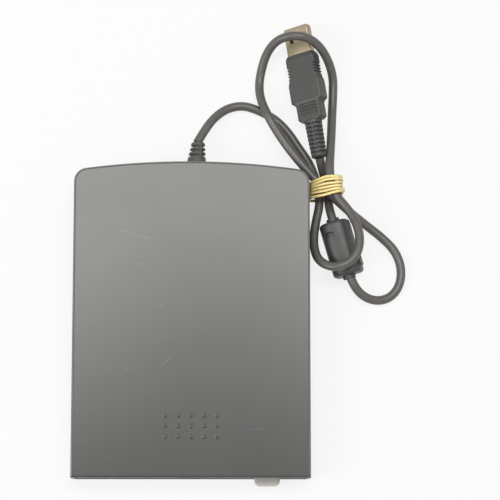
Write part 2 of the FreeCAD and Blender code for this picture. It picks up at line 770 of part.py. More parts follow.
def front_bezel():
    """Front wall with the flared disk slot, thumb hollow, holes for button and light, and ears for the flap's pin."""
    half = HALF_W - WALL - BEZEL_SIDE_GAP
    plate = box(-half, half, BEZEL_FRONT, BEZEL_BACK, FLOOR_TOP + BEZEL_LOW_GAP, ROOF_UNDER - BEZEL_LOW_GAP)
    plate = plate.makeFillet(BEZEL_EDGE_R, edges_in_front(plate, BEZEL_FRONT))
    front = BEZEL_FRONT - CLEAR
    back = BEZEL_BACK + CLEAR
    mouth = box(-SLOT_HALF_W, SLOT_HALF_W, front, back, SLOT_LOW, SLOT_HIGH)
    flare_back = BEZEL_FRONT + SLOT_FLARE_DEPTH
    flare = prism(
        [(BEZEL_FRONT, SLOT_LOW - SLOT_FLARE), (flare_back, SLOT_LOW), (flare_back, SLOT_HIGH),
         (BEZEL_FRONT, SLOT_HIGH + SLOT_FLARE)],
        "x", -SLOT_HALF_W, SLOT_HALF_W)
    thumb = rod(THUMB_R, (0, front, SLOT_LOW + THUMB_R - THUMB_DROP), (0, 1, 0), CLEAR + THUMB_DEPTH)
    thumb = thumb.common(box(-THUMB_R, THUMB_R, front, BEZEL_BACK, 0, SLOT_LOW + CLEAR))
    ears = []
    for side in (-1, 1):
        ear = side_box(side, EAR_IN, EAR_OUT, BEZEL_BACK - SUNK, FLAP_AXIS_Y + EAR_REACH,
                       FLAP_AXIS_Z - EAR_LOW, ROOF_UNDER - SUNK)
        start = (side * (EAR_IN - CLEAR), FLAP_AXIS_Y, FLAP_AXIS_Z)
        ears.append(ear.cut(rod(FLAP_PIN_R + FLAP_PIN_FIT, start, (side, 0, 0), EAR_OUT - EAR_IN + 2 * CLEAR)))
    holes = [button_box(BUTTON_GAP, front, back), lens_box(FIT_GAP, front, back)]
    return cut(fuse([plate] + ears), [mouth, flare, thumb] + holes)


def dust_flap():
    """Thin plate behind the slot, hung from a knuckle that three gaps break up."""
    half = SLOT_HALF_W + FLAP_SIDE
    plate = box(-half, half, FLAP_AXIS_Y - FLAP_T / 2, FLAP_AXIS_Y + FLAP_T / 2, FLAP_LOW, FLAP_AXIS_Z)
    low_edges = [e for e in edges_up_to(plate, FLAP_LOW) if e.BoundBox.XLength > half]
    plate = plate.makeFillet(FLAP_EDGE_R, low_edges)
    knuckle = rod(FLAP_KNUCKLE_R, (-half, FLAP_AXIS_Y, FLAP_AXIS_Z), (1, 0, 0), 2 * half)
    start = (-half - CLEAR, FLAP_AXIS_Y, FLAP_AXIS_Z)
    bore = rod(FLAP_PIN_R + RUNNING_FIT, start, (1, 0, 0), 2 * (half + CLEAR))
    gap_low = FLAP_AXIS_Z - FLAP_GAP_DEPTH
    gaps = []
    for x in FLAP_GAP_XS:
        gaps.append(box(x - FLAP_GAP_HALF, x + FLAP_GAP_HALF, FLAP_AXIS_Y - 2 * CLEAR, FLAP_AXIS_Y + 2 * CLEAR,
                        gap_low, FLAP_AXIS_Z + 2 * CLEAR))
    return cut(fuse([plate, knuckle]), [bore] + gaps)


def flap_pin():
    """Pin that the flap swings on, from ear to ear."""
    return rod(FLAP_PIN_R, (-EAR_OUT, FLAP_AXIS_Y, FLAP_AXIS_Z), (1, 0, 0), 2 * EAR_OUT)


def flap_spring():
    """Torsion spring round the pin, in the flap's middle gap."""
    start = (-FLAP_SPRING_L / 2, FLAP_AXIS_Y, FLAP_AXIS_Z)
    radius = FLAP_PIN_R + FLAP_SPRING_GAP
    return coil(radius, FLAP_SPRING_WIRE_R, FLAP_SPRING_L, FLAP_SPRING_TURNS, start, (1, 0, 0))


def eject_button():
    """Key with round corners that stands out of the bezel; it is hollow from behind."""
    front = FRONT_Y - BUTTON_PROUD
    body = button_box(0, front, LEG_Y)
    body = body.makeFillet(BUTTON_CORNER_R, [e for e in edges_in_front(body, front) if upright(e)])
    rims = [e for e in body.Edges if e.BoundBox.ZLength < TINY and e.BoundBox.YMin < LEG_Y - CLEAR]
    body = body.makeFillet(BUTTON_R, rims)
    half = BUTTON_W / 2 - BUTTON_SIDE_WALL
    pocket = box(BUTTON_X - half, BUTTON_X + half, front + BUTTON_FACE_T, LEG_Y + CLEAR,
                 BUTTON_LOW + BUTTON_WALL, BUTTON_HIGH - BUTTON_WALL)
    return body.cut(pocket)


def access_lens():
    """Light pipe that shows the drive is busy."""
    front = BEZEL_FRONT - LENS_PROUD
    pipe = lens_box(0, front, BEZEL_BACK + LENS_TAIL)
    flange = lens_box(LENS_FLANGE, BEZEL_BACK, BEZEL_BACK + LENS_FLANGE_T)
    return fuse([pipe.makeFillet(LENS_EDGE_R, edges_in_front(pipe, front)), flange])


# ---------------------------------------------------------------- chassis

def holder_pin_slot(y, x0, x1):
    """Upright slot that keeps a holder pin from moving along the drive."""
    return slot_x(y, CAM_PIN_Z - HOLDER_DROP, y, CAM_PIN_Z + SLIDE_OVER * DROP_PER_MM, CAM_SLOT_R, x0, x1)


def through_floor(x0, x1, y0, y1):
    """Box cutter through the chassis floor."""
    return box(x0, x1, y0, y1, CHASSIS_LOW - CLEAR, CHASSIS_FLOOR_TOP + CLEAR)


def drill(radius, x, y, z):
    """Upright round cutter that starts below z and reaches through a sheet or board there."""
    return rod(radius, (x, y, z - CLEAR), (0, 0, 1), 3 * CLEAR)


def drive_chassis():
    """Sheet tray: side walls with pin slots and spring tabs, a rear wall, and openings in its floor."""
    half = CHASSIS_HALF_W
    floor = box(-half, half, CHASSIS_FRONT, CHASSIS_REAR, CHASSIS_LOW, CHASSIS_FLOOR_TOP)
    rear = box(-half, half, CHASSIS_REAR - SHEET, CHASSIS_REAR, CHASSIS_LOW, CHASSIS_TOP)
    gap_x0, gap_x1, gap_top = REAR_GAP
    rear = rear.cut(box(gap_x0, gap_x1, CHASSIS_REAR - 2 * CLEAR, CHASSIS_REAR + CLEAR,
                        CHASSIS_FLOOR_TOP + REAR_GAP_SILL, gap_top))
    adds = [floor, rear]
    low = SPRING_Z - FIXED_TAB_HALF
    high = SPRING_Z + FIXED_TAB_HALF
    tab_back = SPRING_FRONT - SPRING_GAP
    tab_front = tab_back - SPRING_TAB_T - SLIDE_TRAVEL - TAB_SIDE
    cutters = [
        drill(CHASSIS_MOTOR_HOLE_R, 0, SPINDLE_Y, CHASSIS_LOW),
        through_floor(WINDOW_X0, WINDOW_X1, WINDOW_Y0, WINDOW_Y1),
        through_floor(WINDOW_X0, SCREW_X + STEPPER_R + TAB_SIDE, WINDOW_Y1 - CLEAR, CHASSIS_REAR - SHEET),
    ]
    for side in (-1, 1):
        adds.append(side_box(side, half - SHEET, half, CHASSIS_FRONT, CHASSIS_REAR, CHASSIS_LOW, CHASSIS_TOP))
        adds.append(side_box(side, half - SUNK, SPRING_TAB_OUT, SPRING_BACK, SPRING_BACK + SPRING_TAB_T, low, high))
        x0, x1 = sorted((side * (half - SHEET - CLEAR), side * (half + CLEAR)))
        cutters.extend([holder_pin_slot(y, x0, x1) for y in CAM_PIN_YS])
        cutters.append(box(x0, x1, tab_front, tab_back + SLIDE_OVER + TAB_SIDE, low, high))
        cutters.extend([drill(SCREW_HOLE_R + SCREW_PASS / 2, side * MOUNT_X, y, CHASSIS_LOW) for y in MOUNT_YS])
    for x, y in BOARD_SCREW_SPOTS:
        adds.append(rod(CHASSIS_BOSS_R, (x, y, BOARD_TOP), (0, 0, 1), CHASSIS_LOW - BOARD_TOP + SUNK))
        cutters.append(drill(SCREW_HOLE_R, x, y, BOARD_LOW + CLEAR))
    reach = SENSOR_HALF + SENSOR_GAP
    cutters.extend([through_floor(x - reach, x + reach, y - reach, y + reach) for name, x, y in SENSORS])
    return cut(fuse(adds), cutters)


def chassis_cover():
    """Thin lid of the chassis, with a window over the heads, two slots and two round holes."""
    half = CHASSIS_HALF_W
    low = CHASSIS_TOP - CLEAR
    high = CHASSIS_TOP + CLEAR
    plate = box(-half, half, CHASSIS_FRONT + COVER_SETBACK, CHASSIS_REAR, CHASSIS_TOP, CHASSIS_TOP + COVER_T)
    window_half, y0, y1 = COVER_WINDOW
    cutters = [box(-window_half, window_half, y0, y1, low, high)]
    slot_half, y0, y1 = COVER_SLOT
    for x in (-COVER_X, COVER_X):
        cutters.append(box(x - slot_half, x + slot_half, y0, y1, low, high))
        cutters.append(drill(COVER_HOLE_R, x, COVER_HOLE_Y, CHASSIS_TOP))
    return cut(plate, cutters)


def chassis_screws():
    """Screws that hold the chassis down on the case's posts."""
    spots = [(side * MOUNT_X, y) for side in (-1, 1) for y in MOUNT_YS]
    return Part.makeCompound([screw(x, y, CHASSIS_FLOOR_TOP, CHASSIS_SCREW_L, up=-1) for x, y in spots])


def board_screws():
    """Screws that hold both boards up against the chassis."""
    shapes = []
    for x, y in BOARD_SCREW_SPOTS:
        head = rod(BOARD_SCREW_HEAD_R, (x, y, BOARD_LOW), (0, 0, -1), BOARD_SCREW_HEAD_T)
        shapes.append(fuse([head, rod(SCREW_SHANK_R, (x, y, BOARD_LOW), (0, 0, 1), BOARD_SCREW_L)]))
    return Part.makeCompound(shapes)


# ---------------------------------------------------------------- loading gear

def cam_slot(y, x0, x1):
    """Slanted slot in the slide's flange; it lowers the holder as the slide moves forwards."""
    return slot_x(
        y - SLIDE_OVER, CAM_PIN_Z + SLIDE_OVER * DROP_PER_MM,
        y + SLIDE_TRAVEL, CAM_PIN_Z - HOLDER_DROP, CAM_SLOT_R, x0, x1)


def slide_plate():
    """Sliding frame: bridge and rails above the holder, slotted flanges beside it, and a leg behind the button."""
    bridge = box(-FLANGE_OUT, FLANGE_OUT, SLIDE_FRONT, SLIDE_BRIDGE_REAR, SLIDE_LOW, SLIDE_TOP)
    parts = [bridge]
    window_half, y0, y1 = SLIDE_WINDOW
    cutters = [box(-window_half, window_half, y0, y1, SLIDE_LOW - CLEAR, SLIDE_TOP + CLEAR)]
    tab_back = SPRING_FRONT - SPRING_GAP
    low = SPRING_Z - MOVING_TAB_HALF
    high = SPRING_Z + MOVING_TAB_HALF
    rail_front = SLIDE_BRIDGE_REAR - CLEAR
    for side in (-1, 1):
        parts.append(side_box(side, SLIDE_RAIL_IN, FLANGE_OUT, rail_front, SLIDE_REAR, SLIDE_LOW, SLIDE_TOP))
        parts.append(side_box(side, FLANGE_IN, FLANGE_OUT, SLIDE_FRONT, SLIDE_REAR, FLANGE_BOTTOM, SLIDE_TOP))
        parts.append(side_box(side, FLANGE_IN, SPRING_TAB_OUT, tab_back - SPRING_TAB_T, tab_back, low, high))
        x0, x1 = sorted((side * (FLANGE_IN - SUNK), side * (FLANGE_OUT + SUNK)))
        cutters.extend([cam_slot(y, x0, x1) for y in CAM_PIN_YS])
    parts.append(box(FLANGE_IN, FLANGE_OUT, LEG_Y, SLIDE_FRONT + CLEAR, FLANGE_BOTTOM, LEG_ARM_TOP))
    parts.append(box(BUTTON_X - BUTTON_W / 2 + LEG_INSET, FLANGE_OUT, LEG_Y, LEG_Y + LEG_T,
                     BUTTON_LOW + LEG_LIFT, FLANGE_BOTTOM + CLEAR))
    return cut(fuse(parts), cutters)


def slide_springs():
    """Compression springs that push the slide forwards, one on each side of the chassis."""
    length = SPRING_BACK - SPRING_FRONT
    springs = []
    for x in (-SPRING_X, SPRING_X):
        start = (x, SPRING_FRONT + SPRING_WIRE_R, SPRING_Z)
        springs.append(coil(SPRING_R, SPRING_WIRE_R, length - 2 * SPRING_WIRE_R, SPRING_TURNS, start, (0, 1, 0)))
    return Part.makeCompound(springs)


def lever_slot():
    """Arc slot in the holder's roof that the lever's pin sweeps."""
    half = LEVER_PIN_R + LEVER_SLOT_GAP
    centre = V(LEVER_PIVOT[0], LEVER_PIVOT[1], HOLDER_ROOF - CLEAR)
    ring = Part.makeCylinder(LEVER_R + half, 3 * CLEAR, centre, V(0, 0, 1), math.degrees(LEVER_SWING))
    ring.rotate(centre, V(0, 0, 1), math.degrees(LEVER_REST))
    ring = ring.cut(drill(LEVER_R - half, centre.x, centre.y, HOLDER_ROOF))
    for angle in (LEVER_REST, LEVER_REST + LEVER_SWING):
        x, y = lever_pin_at(angle)
        ring = ring.fuse(drill(half, x, y, HOLDER_ROOF))
    return ring


def lever_pin_at(angle):
    """Centre of the lever's pin, seen from above, at an angle from +X."""
    return LEVER_PIVOT[0] + LEVER_R * math.cos(angle), LEVER_PIVOT[1] + LEVER_R * math.sin(angle)


def disk_holder():
    """Sheet sleeve that the disk slides into: roof, side walls, ledges below, and stops at its rear."""
    half = HOLDER_HALF_W
    roof_top = HOLDER_ROOF + HOLDER_T
    front = HOLDER_FRONT
    rear = HOLDER_REAR
    parts = [box(-half, half, front, rear, HOLDER_ROOF, roof_top)]
    ledge_in = half - HOLDER_LEDGE - HOLDER_SIDE_T
    for side in (-1, 1):
        parts.append(side_box(side, half - HOLDER_SIDE_T, half, front, rear, HOLDER_LOW, roof_top))
        parts.append(side_box(side, ledge_in, half, front, rear, HOLDER_LOW, HOLDER_LOW + HOLDER_T))
        parts.append(side_box(side, STOP_IN, STOP_OUT, DISK_STOP_Y, DISK_STOP_Y + HOLDER_T,
                              HOLDER_LOW + CLEAR, HOLDER_ROOF + SUNK))
    window = box(-HEAD_WINDOW_HALF, HEAD_WINDOW_HALF, HEAD_WINDOW_Y0, rear + CLEAR,
                 HOLDER_ROOF - CLEAR, roof_top + CLEAR)
    cutters = [window, lever_slot(), drill(RIVET_R, LEVER_PIVOT[0], LEVER_PIVOT[1], HOLDER_ROOF)]
    for y in CAM_PIN_YS:
        cutters.append(rod(CAM_PIN_R, (-half - CLEAR, y, CAM_PIN_Z), (1, 0, 0), 2 * (half + CLEAR)))
    return cut(fuse(parts), cutters)


def holder_pins():
    """Four pins that ride in the chassis's upright slots and the slide's slanted ones."""
    pins = []
    for side in (-1, 1):
        for y in CAM_PIN_YS:
            start = (side * (HOLDER_HALF_W - HOLDER_SIDE_T), y, CAM_PIN_Z)
            pins.append(rod(CAM_PIN_R, start, (side, 0, 0), CAM_PIN_END - HOLDER_HALF_W + HOLDER_SIDE_T))
    return Part.makeCompound(pins)


def shutter_lever():
    """Flat arm with a round eye at its pivot and a pin that reaches down into the disk's path."""
    px, py = LEVER_PIVOT
    x, y = lever_pin_at(LEVER_REST)
    along = V(x - px, y - py, 0).normalize()
    side = V(-along.y, along.x, 0) * LEVER_HALF_W
    base = V(px, py, LEVER_LOW)
    tip = V(x, y, LEVER_LOW)
    corners = [base + side, tip + side * LEVER_NOSE, tip - side * LEVER_NOSE, base - side, base + side]
    arm = Part.Face(Part.makePolygon(corners)).extrude(V(0, 0, LEVER_T))
    eye = rod(LEVER_EYE_R, (px, py, LEVER_LOW), (0, 0, 1), LEVER_T)
    nose = rod(LEVER_HALF_W * LEVER_NOSE, (x, y, LEVER_LOW), (0, 0, 1), LEVER_T)
    pin = rod(LEVER_PIN_R, (x, y, LEVER_PIN_END), (0, 0, 1), LEVER_LOW + LEVER_T - LEVER_PIN_END)
    return cut(fuse([arm, eye, nose, pin]), [drill(RIVET_R + RUNNING_FIT, px, py, LEVER_LOW)])


def lever_rivet():
    """Rivet through the holder's roof that the lever swings on."""
    px, py = LEVER_PIVOT
    foot_low = HOLDER_ROOF - RIVET_FOOT_T
    head_low = LEVER_LOW + LEVER_T + RIVET_HEAD_GAP
    shank = rod(RIVET_R, (px, py, foot_low), (0, 0, 1), head_low - foot_low + RIVET_HEAD_T)
    foot = rod(RIVET_HEAD_R, (px, py, foot_low), (0, 0, 1), RIVET_FOOT_T)
    head = rod(RIVET_HEAD_R, (px, py, head_low), (0, 0, 1), RIVET_HEAD_T)
    return fuse([shank, foot, head])


# ---------------------------------------------------------------- spindle

def motor_board():
    """Board under the spindle, with holes for the bearing and screws, and room for the front posts."""
    cutters = [drill(BEARING_R, 0, SPINDLE_Y, BOARD_LOW)]
    cutters.extend([drill(SCREW_HOLE_R, x, y, BOARD_LOW) for x, y in BOARD_SCREW_SPOTS[:MOTOR_BOARD_SCREWS]])
    cutters.extend([drill(MOUNT_PASS_R, side * MOUNT_X, MOUNT_YS[0], BOARD_LOW) for side in (-1, 1)])
    return cut(box(*MOTOR_BOARD, BOARD_LOW, BOARD_TOP), cutters)


def stator_coils():
    """Flat coils in a ring: each is a segment of a ring with a hole in its middle."""
    half_angle = math.pi / COIL_COUNT * COIL_FILL
    coils = []
    for index in range(COIL_COUNT):
        angle = 2 * math.pi * index / COIL_COUNT
        points = []
        for radius, turn in ((COIL_IN, -1), (COIL_OUT, -1), (COIL_OUT, 1), (COIL_IN, 1)):
            a = angle + turn * half_angle
            points.append((radius * math.cos(a), SPINDLE_Y + radius * math.sin(a)))
        block = prism(points, "z", COIL_LOW, COIL_TOP)
        middle = (COIL_IN + COIL_OUT) / 2
        coils.append(block.cut(drill(COIL_HOLE_R, middle * math.cos(angle), SPINDLE_Y + middle * math.sin(angle),
                                     COIL_LOW)))
    return Part.makeCompound(coils)


def spindle_bearing():
    """Flanged sleeve in the motor board, closed below the shaft."""
    sleeve = rod(BEARING_R, (0, SPINDLE_Y, BEARING_LOW), (0, 0, 1), BEARING_TOP - BEARING_LOW)
    flange = rod(BEARING_FLANGE_R, (0, SPINDLE_Y, BOARD_TOP), (0, 0, 1), BEARING_FLANGE_T)
    bore = rod(SHAFT_R + RUNNING_FIT, (0, SPINDLE_Y, BEARING_LOW + BEARING_CUP_T), (0, 0, 1), BEARING_TOP)
    return cut(fuse([sleeve, flange]), [bore])


def spindle_rotor():
    """Shallow steel cup that turns over the coils, with the chuck plate on top."""
    plate = rod(ROTOR_R, (0, SPINDLE_Y, ROTOR_TOP - ROTOR_PLATE_T), (0, 0, 1), ROTOR_PLATE_T)
    rim = rod(ROTOR_R, (0, SPINDLE_Y, ROTOR_LOW), (0, 0, 1), ROTOR_TOP - ROTOR_LOW)
    rim = rim.cut(drill(ROTOR_R - ROTOR_RIM_T, 0, SPINDLE_Y, ROTOR_LOW))
    chuck = rod(CHUCK_R, (0, SPINDLE_Y, ROTOR_TOP), (0, 0, 1), CHUCK_TOP - ROTOR_TOP)
    bores = [drill(SHAFT_R, 0, SPINDLE_Y, ROTOR_TOP - ROTOR_PLATE_T)]
    bores.append(rod(DRIVE_PIN_R, (DRIVE_PIN_AT, SPINDLE_Y, ROTOR_TOP), (0, 0, 1), CHUCK_TOP))
    for index in range(ROTOR_HOLES):
        angle = 2 * math.pi * (index + 0.5) / ROTOR_HOLES
        x = ROTOR_HOLE_AT * math.cos(angle)
        y = SPINDLE_Y + ROTOR_HOLE_AT * math.sin(angle)
        bores.append(drill(ROTOR_HOLE_R, x, y, ROTOR_TOP - ROTOR_PLATE_T))
    return cut(fuse([plate, rim, chuck]), bores)


def rotor_magnet():
    """Ring magnet inside the rotor's rim."""
    height = ROTOR_TOP - ROTOR_PLATE_T - ROTOR_LOW
    ring = rod(ROTOR_R - ROTOR_RIM_T, (0, SPINDLE_Y, ROTOR_LOW), (0, 0, 1), height)
    return ring.cut(drill(ROTOR_R - ROTOR_RIM_T - MAGNET_T, 0, SPINDLE_Y, ROTOR_LOW))


def spindle_shaft():
    """Shaft with the chamfered spigot that centres the disk's hub."""
    shaft = rod(SHAFT_R, (0, SPINDLE_Y, SHAFT_LOW), (0, 0, 1), CHUCK_TOP - SHAFT_LOW)
    spigot = rod(SPIGOT_R, (0, SPINDLE_Y, CHUCK_TOP), (0, 0, 1), SPIGOT_TOP - CHUCK_TOP)
    return fuse([shaft, spigot.makeChamfer(SPIGOT_CHAMFER, edges_from(spigot, SPIGOT_TOP))])


def drive_pin():
    """Round-topped pin on the chuck plate that catches the slot in the disk's hub."""
    pin = rod(DRIVE_PIN_R, (DRIVE_PIN_AT, SPINDLE_Y, ROTOR_TOP), (0, 0, 1), DRIVE_PIN_TOP - ROTOR_TOP)
    return pin.makeFillet(DRIVE_PIN_EDGE_R, edges_from(pin, DRIVE_PIN_TOP))


# ---------------------------------------------------------------- heads

def head_carriage():
    """Lower carriage: base plate, rod bearing, nose under the head, hinge tower and screw follower."""
    base = box(CARRIAGE_X0, CARRIAGE_X1, CARRIAGE_Y0, CARRIAGE_Y1, CARRIAGE_LOW, CARRIAGE_TOP)
    bearing = box(GUIDE_X - CARRIAGE_ROD_HALF, GUIDE_X + CARRIAGE_ROD_HALF, CARRIAGE_Y0, CARRIAGE_Y1,
                  CARRIAGE_LOW - SUNK, CARRIAGE_ROD_TOP)
    head_front = HEAD_TRACK_0 - HEAD_HALF_Y
    nose = box(-NOSE_HALF, NOSE_HALF, head_front - NOSE_FRONT_GAP, CARRIAGE_Y0 + CLEAR, CARRIAGE_LOW, CARRIAGE_TOP)
    post = box(-POST_HALF, POST_HALF, head_front, HEAD_TRACK_0 + HEAD_HALF_Y + CLEAR, CARRIAGE_LOW, POST_TOP)
    towers = [side_box(side, TOWER_IN, TOWER_OUT, ARM_PIN_Y - TOWER_HALF_L, ARM_PIN_Y + TOWER_HALF_L,
                       CARRIAGE_LOW, ARM_PIN_Z + TOWER_RISE) for side in (-1, 1)]
    reach = SCREW_X - SCREW_R - FOLLOWER_GAP
    back = CARRIAGE_X1 - CLEAR
    top = CARRIAGE_TOP + FOLLOWER_T
    foot = box(back, reach, FOLLOWER_Y0, FOLLOWER_Y1, CARRIAGE_TOP - SUNK, top)
    link = box(back, CARRIAGE_X1, FOLLOWER_Y0, FOLLOWER_Y1, CARRIAGE_LOW, top)
    finger = box(reach - FOLLOWER_W, reach, FOLLOWER_Y0, FOLLOWER_Y1, CARRIAGE_TOP - SUNK, SCREW_Z + FOLLOWER_RISE)
    bores = [
        rod(GUIDE_R + RUNNING_FIT, (GUIDE_X, CARRIAGE_Y0 - CLEAR, GUIDE_Z), (0, 1, 0), CARRIAGE_Y1),
        rod(ARM_PIN_R, (-TOWER_OUT - CLEAR, ARM_PIN_Y, ARM_PIN_Z), (1, 0, 0), 2 * (TOWER_OUT + CLEAR)),
    ]
    return cut(fuse([base, bearing, nose, post] + towers + [foot, link, finger]), bores)


def head_block(low, high):
    """Small ceramic slider on the line through both heads."""
    return box(-HEAD_HALF_X, HEAD_HALF_X, HEAD_TRACK_0 - HEAD_HALF_Y, HEAD_TRACK_0 + HEAD_HALF_Y, low, high)


def lower_head():
    """Fixed head under the disk."""
    return head_block(POST_TOP, HEAD_PLANE - HEAD_GAP / 2)


def raised(shape):
    """Turn a piece of the upper arm from its loaded place up to its place at rest."""
    shape.rotate(V(0, ARM_PIN_Y, ARM_PIN_Z), V(1, 0, 0), -math.degrees(ARM_LIFT))
    return shape


def upper_head_arm():
    """Tapered arm with a hinge sleeve at its rear and a rib along its middle."""
    head_y = HEAD_TRACK_0 - HEAD_HALF_Y - ARM_HEAD_GAP
    taper_y = ARM_PIN_Y - ARM_TAPER_L
    top = ARM_PIN_Z + ARM_HALF_T
    points = [(-ARM_HEAD_HALF, head_y), (ARM_HEAD_HALF, head_y), (ARM_HALF_W, taper_y), (ARM_HALF_W, ARM_PIN_Y),
              (-ARM_HALF_W, ARM_PIN_Y), (-ARM_HALF_W, taper_y)]
    plate = prism(points, "z", ARM_PIN_Z - ARM_HALF_T, top)
    sleeve = rod(ARM_SLEEVE_R, (-ARM_HALF_W, ARM_PIN_Y, ARM_PIN_Z), (1, 0, 0), 2 * ARM_HALF_W)
    bore = rod(ARM_PIN_R + RUNNING_FIT, (-ARM_HALF_W - CLEAR, ARM_PIN_Y, ARM_PIN_Z), (1, 0, 0),
               2 * (ARM_HALF_W + CLEAR))
    rib = box(-ARM_RIB_T, ARM_RIB_T, HEAD_TRACK_0 + ARM_RIB_FRONT, ARM_PIN_Y - ARM_RIB_BACK,
              ARM_PIN_Z, top + ARM_RIB_T)
    return raised(cut(fuse([plate, sleeve, rib]), [bore]))


def upper_head():
    """Head that the arm lowers onto the disk."""
    return raised(head_block(HEAD_PLANE + HEAD_GAP / 2, ARM_PIN_Z - ARM_HALF_T))


def arm_pin():
    """Hinge pin of the arm, pressed into both towers."""
    return rod(ARM_PIN_R, (-TOWER_OUT, ARM_PIN_Y, ARM_PIN_Z), (1, 0, 0), 2 * TOWER_OUT)


def guide_rod():
    """Rod that the carriage slides on."""
    return rod(GUIDE_R, (GUIDE_X, GUIDE_FRONT, GUIDE_Z), (0, 1, 0), GUIDE_BACK - GUIDE_FRONT)


def rod_clamp():
    """Moulded block that holds the guide rod's front end to the chassis."""
    x0 = GUIDE_X - CLAMP_HALF_W
    x1 = GUIDE_X + CLAMP_HALF_W
    block = box(x0, x1, WINDOW_Y0, WINDOW_Y0 + CLAMP_L, GUIDE_Z - CLAMP_DROP, CLAMP_TOP)
    wing = box(x0, x1, WINDOW_Y0 - CLAMP_WING_L, WINDOW_Y0 + CLEAR, CHASSIS_FLOOR_TOP, CLAMP_WING_TOP)
    motor_room = rod(ROTOR_R + CLAMP_ROTOR_GAP, (0, SPINDLE_Y, 0), (0, 0, 1), CHASSIS_TOP)
    seat = rod(GUIDE_R, (GUIDE_X, GUIDE_FRONT, GUIDE_Z), (0, 1, 0), CLAMP_L)
    return cut(fuse([block, wing]), [seat, motor_room])


def stepper_motor():
    """Can of the head motor, with a nose round the screw and a connector on top."""
    rear = CHASSIS_REAR - SHEET
    body = rod(STEPPER_R, (SCREW_X, STEPPER_FRONT, SCREW_Z), (0, 1, 0), rear - STEPPER_FRONT)
    nose_y = STEPPER_FRONT - STEPPER_NOSE_L
    nose = rod(STEPPER_NOSE_R, (SCREW_X, nose_y, SCREW_Z), (0, 1, 0), STEPPER_NOSE_L + SUNK)
    half, low, high = STEPPER_PLUG
    plug = box(SCREW_X - half, SCREW_X + half, STEPPER_FRONT + STEPPER_PLUG_FRONT, rear - STEPPER_PLUG_BACK,
               SCREW_Z + low, SCREW_Z + high)
    start = (SCREW_X, STEPPER_FRONT - CLEAR, SCREW_Z)
    bore = rod(SCREW_CORE_R + STEPPER_BORE_GAP, start, (0, 1, 0), CLEAR + STEPPER_BORE_L)
    return cut(fuse([body, nose, plug]), [bore])


def lead_screw():
    """Screw with one shallow turned thread; its plain tail runs inside the motor."""
    tip = SCREW_FRONT - SCREW_TIP
    core = rod(SCREW_CORE_R, (SCREW_X, tip, SCREW_Z), (0, 1, 0), STEPPER_FRONT + SCREW_TAIL - tip)
    thread_l = STEPPER_FRONT - THREAD_GAP - SCREW_FRONT
    start = (SCREW_X, SCREW_FRONT + THREAD_SETBACK, SCREW_Z)
    radius = SCREW_CORE_R + THREAD_SUNK
    ridge = coil(radius, SCREW_R - SCREW_CORE_R, thread_l, thread_l / SCREW_LEAD, start, (0, 1, 0))
    return core.fuse(ridge)


def screw_bearing():
    """Post that carries the lead screw's front end."""
    y0 = SCREW_FRONT - SCREW_TIP + SCREW_POST_GAP
    low = CHASSIS_FLOOR_TOP
    post = box(SCREW_POST_X0, SCREW_POST_X1, y0, y0 + SCREW_POST_T, low, SCREW_Z + SCREW_POST_RISE)
    foot = box(SCREW_POST_X0, SCREW_POST_X1, y0, y0 + SCREW_FOOT_L, low, low + SCREW_FOOT_T)
    bore = rod(SCREW_CORE_R + RUNNING_FIT, (SCREW_X, y0 - CLEAR, SCREW_Z), (0, 1, 0), 3 * CLEAR)
    return cut(fuse([post, foot]), [bore])


# ---------------------------------------------------------------- boards and sensors

def part_row(row, z, up):
    """Row of small parts on a board's face at z, standing up with up=1 or hanging down with up=-1."""
    count, first, pitch, width, y0, y1, height = row
    z0, z1 = sorted((z, z + up * height))
    return [box(first + i * pitch, first + i * pitch + width, y0, y1, z0, z1) for i in range(count)]


def main_board():
    """Controller board behind the spindle."""
    holes = [drill(SCREW_HOLE_R, x, y, BOARD_LOW) for x, y in BOARD_SCREW_SPOTS[MOTOR_BOARD_SCREWS:]]
    return cut(box(*MAIN_BOARD, BOARD_LOW, BOARD_TOP), holes)


def board_parts():
    """Controller chip, small chips and a row of small parts, under the main board."""
    chips = [box(x0, x1, y0, y1, BOARD_LOW - height, BOARD_LOW) for x0, x1, y0, y1, height in MAIN_CHIPS]
    return Part.makeCompound(chips + part_row(MAIN_ROW, BOARD_LOW, -1))


def bridge_board():
    """Interface board behind the chassis."""
    plate = box(BRIDGE_X0, BRIDGE_X1, BRIDGE_Y0, BRIDGE_Y1, BRIDGE_LOW, BRIDGE_TOP)
    return cut(plate, [drill(SCREW_HOLE_R + SCREW_PASS / 2, x, y, BRIDGE_LOW) for x, y in BRIDGE_POSTS])


def bridge_parts():
    """Interface chip, lead socket, the flat cable's socket, crystal and capacitors, on the bridge board."""
    top = BRIDGE_TOP
    parts = [box(x0, x1, y0, y1, top, top + height) for x0, x1, y0, y1, height in BRIDGE_CHIPS]
    x0, x1, y0, y1, height = BRIDGE_CRYSTAL
    crystal = box(x0, x1, y0, y1, top, top + height)
    parts.append(crystal.makeFillet(BRIDGE_CRYSTAL_R, [e for e in crystal.Edges if upright(e)]))
    x0, x1, length, height = BRIDGE_SOCKET
    parts.append(box(x0, x1, BRIDGE_SOCKET_Y, BRIDGE_SOCKET_Y + length, top, top + height))
    parts.extend([rod(CAN_R, (x, y, top), (0, 0, 1), CAN_H) for x, y in BRIDGE_CANS])
    return Part.makeCompound(parts + part_row(BRIDGE_ROW, top, 1))


def bridge_screws():
    """Screws that hold the bridge board on its posts."""
    return Part.makeCompound([screw(x, y, BRIDGE_TOP, BRIDGE_SCREW_L, up=-1) for x, y in BRIDGE_POSTS])


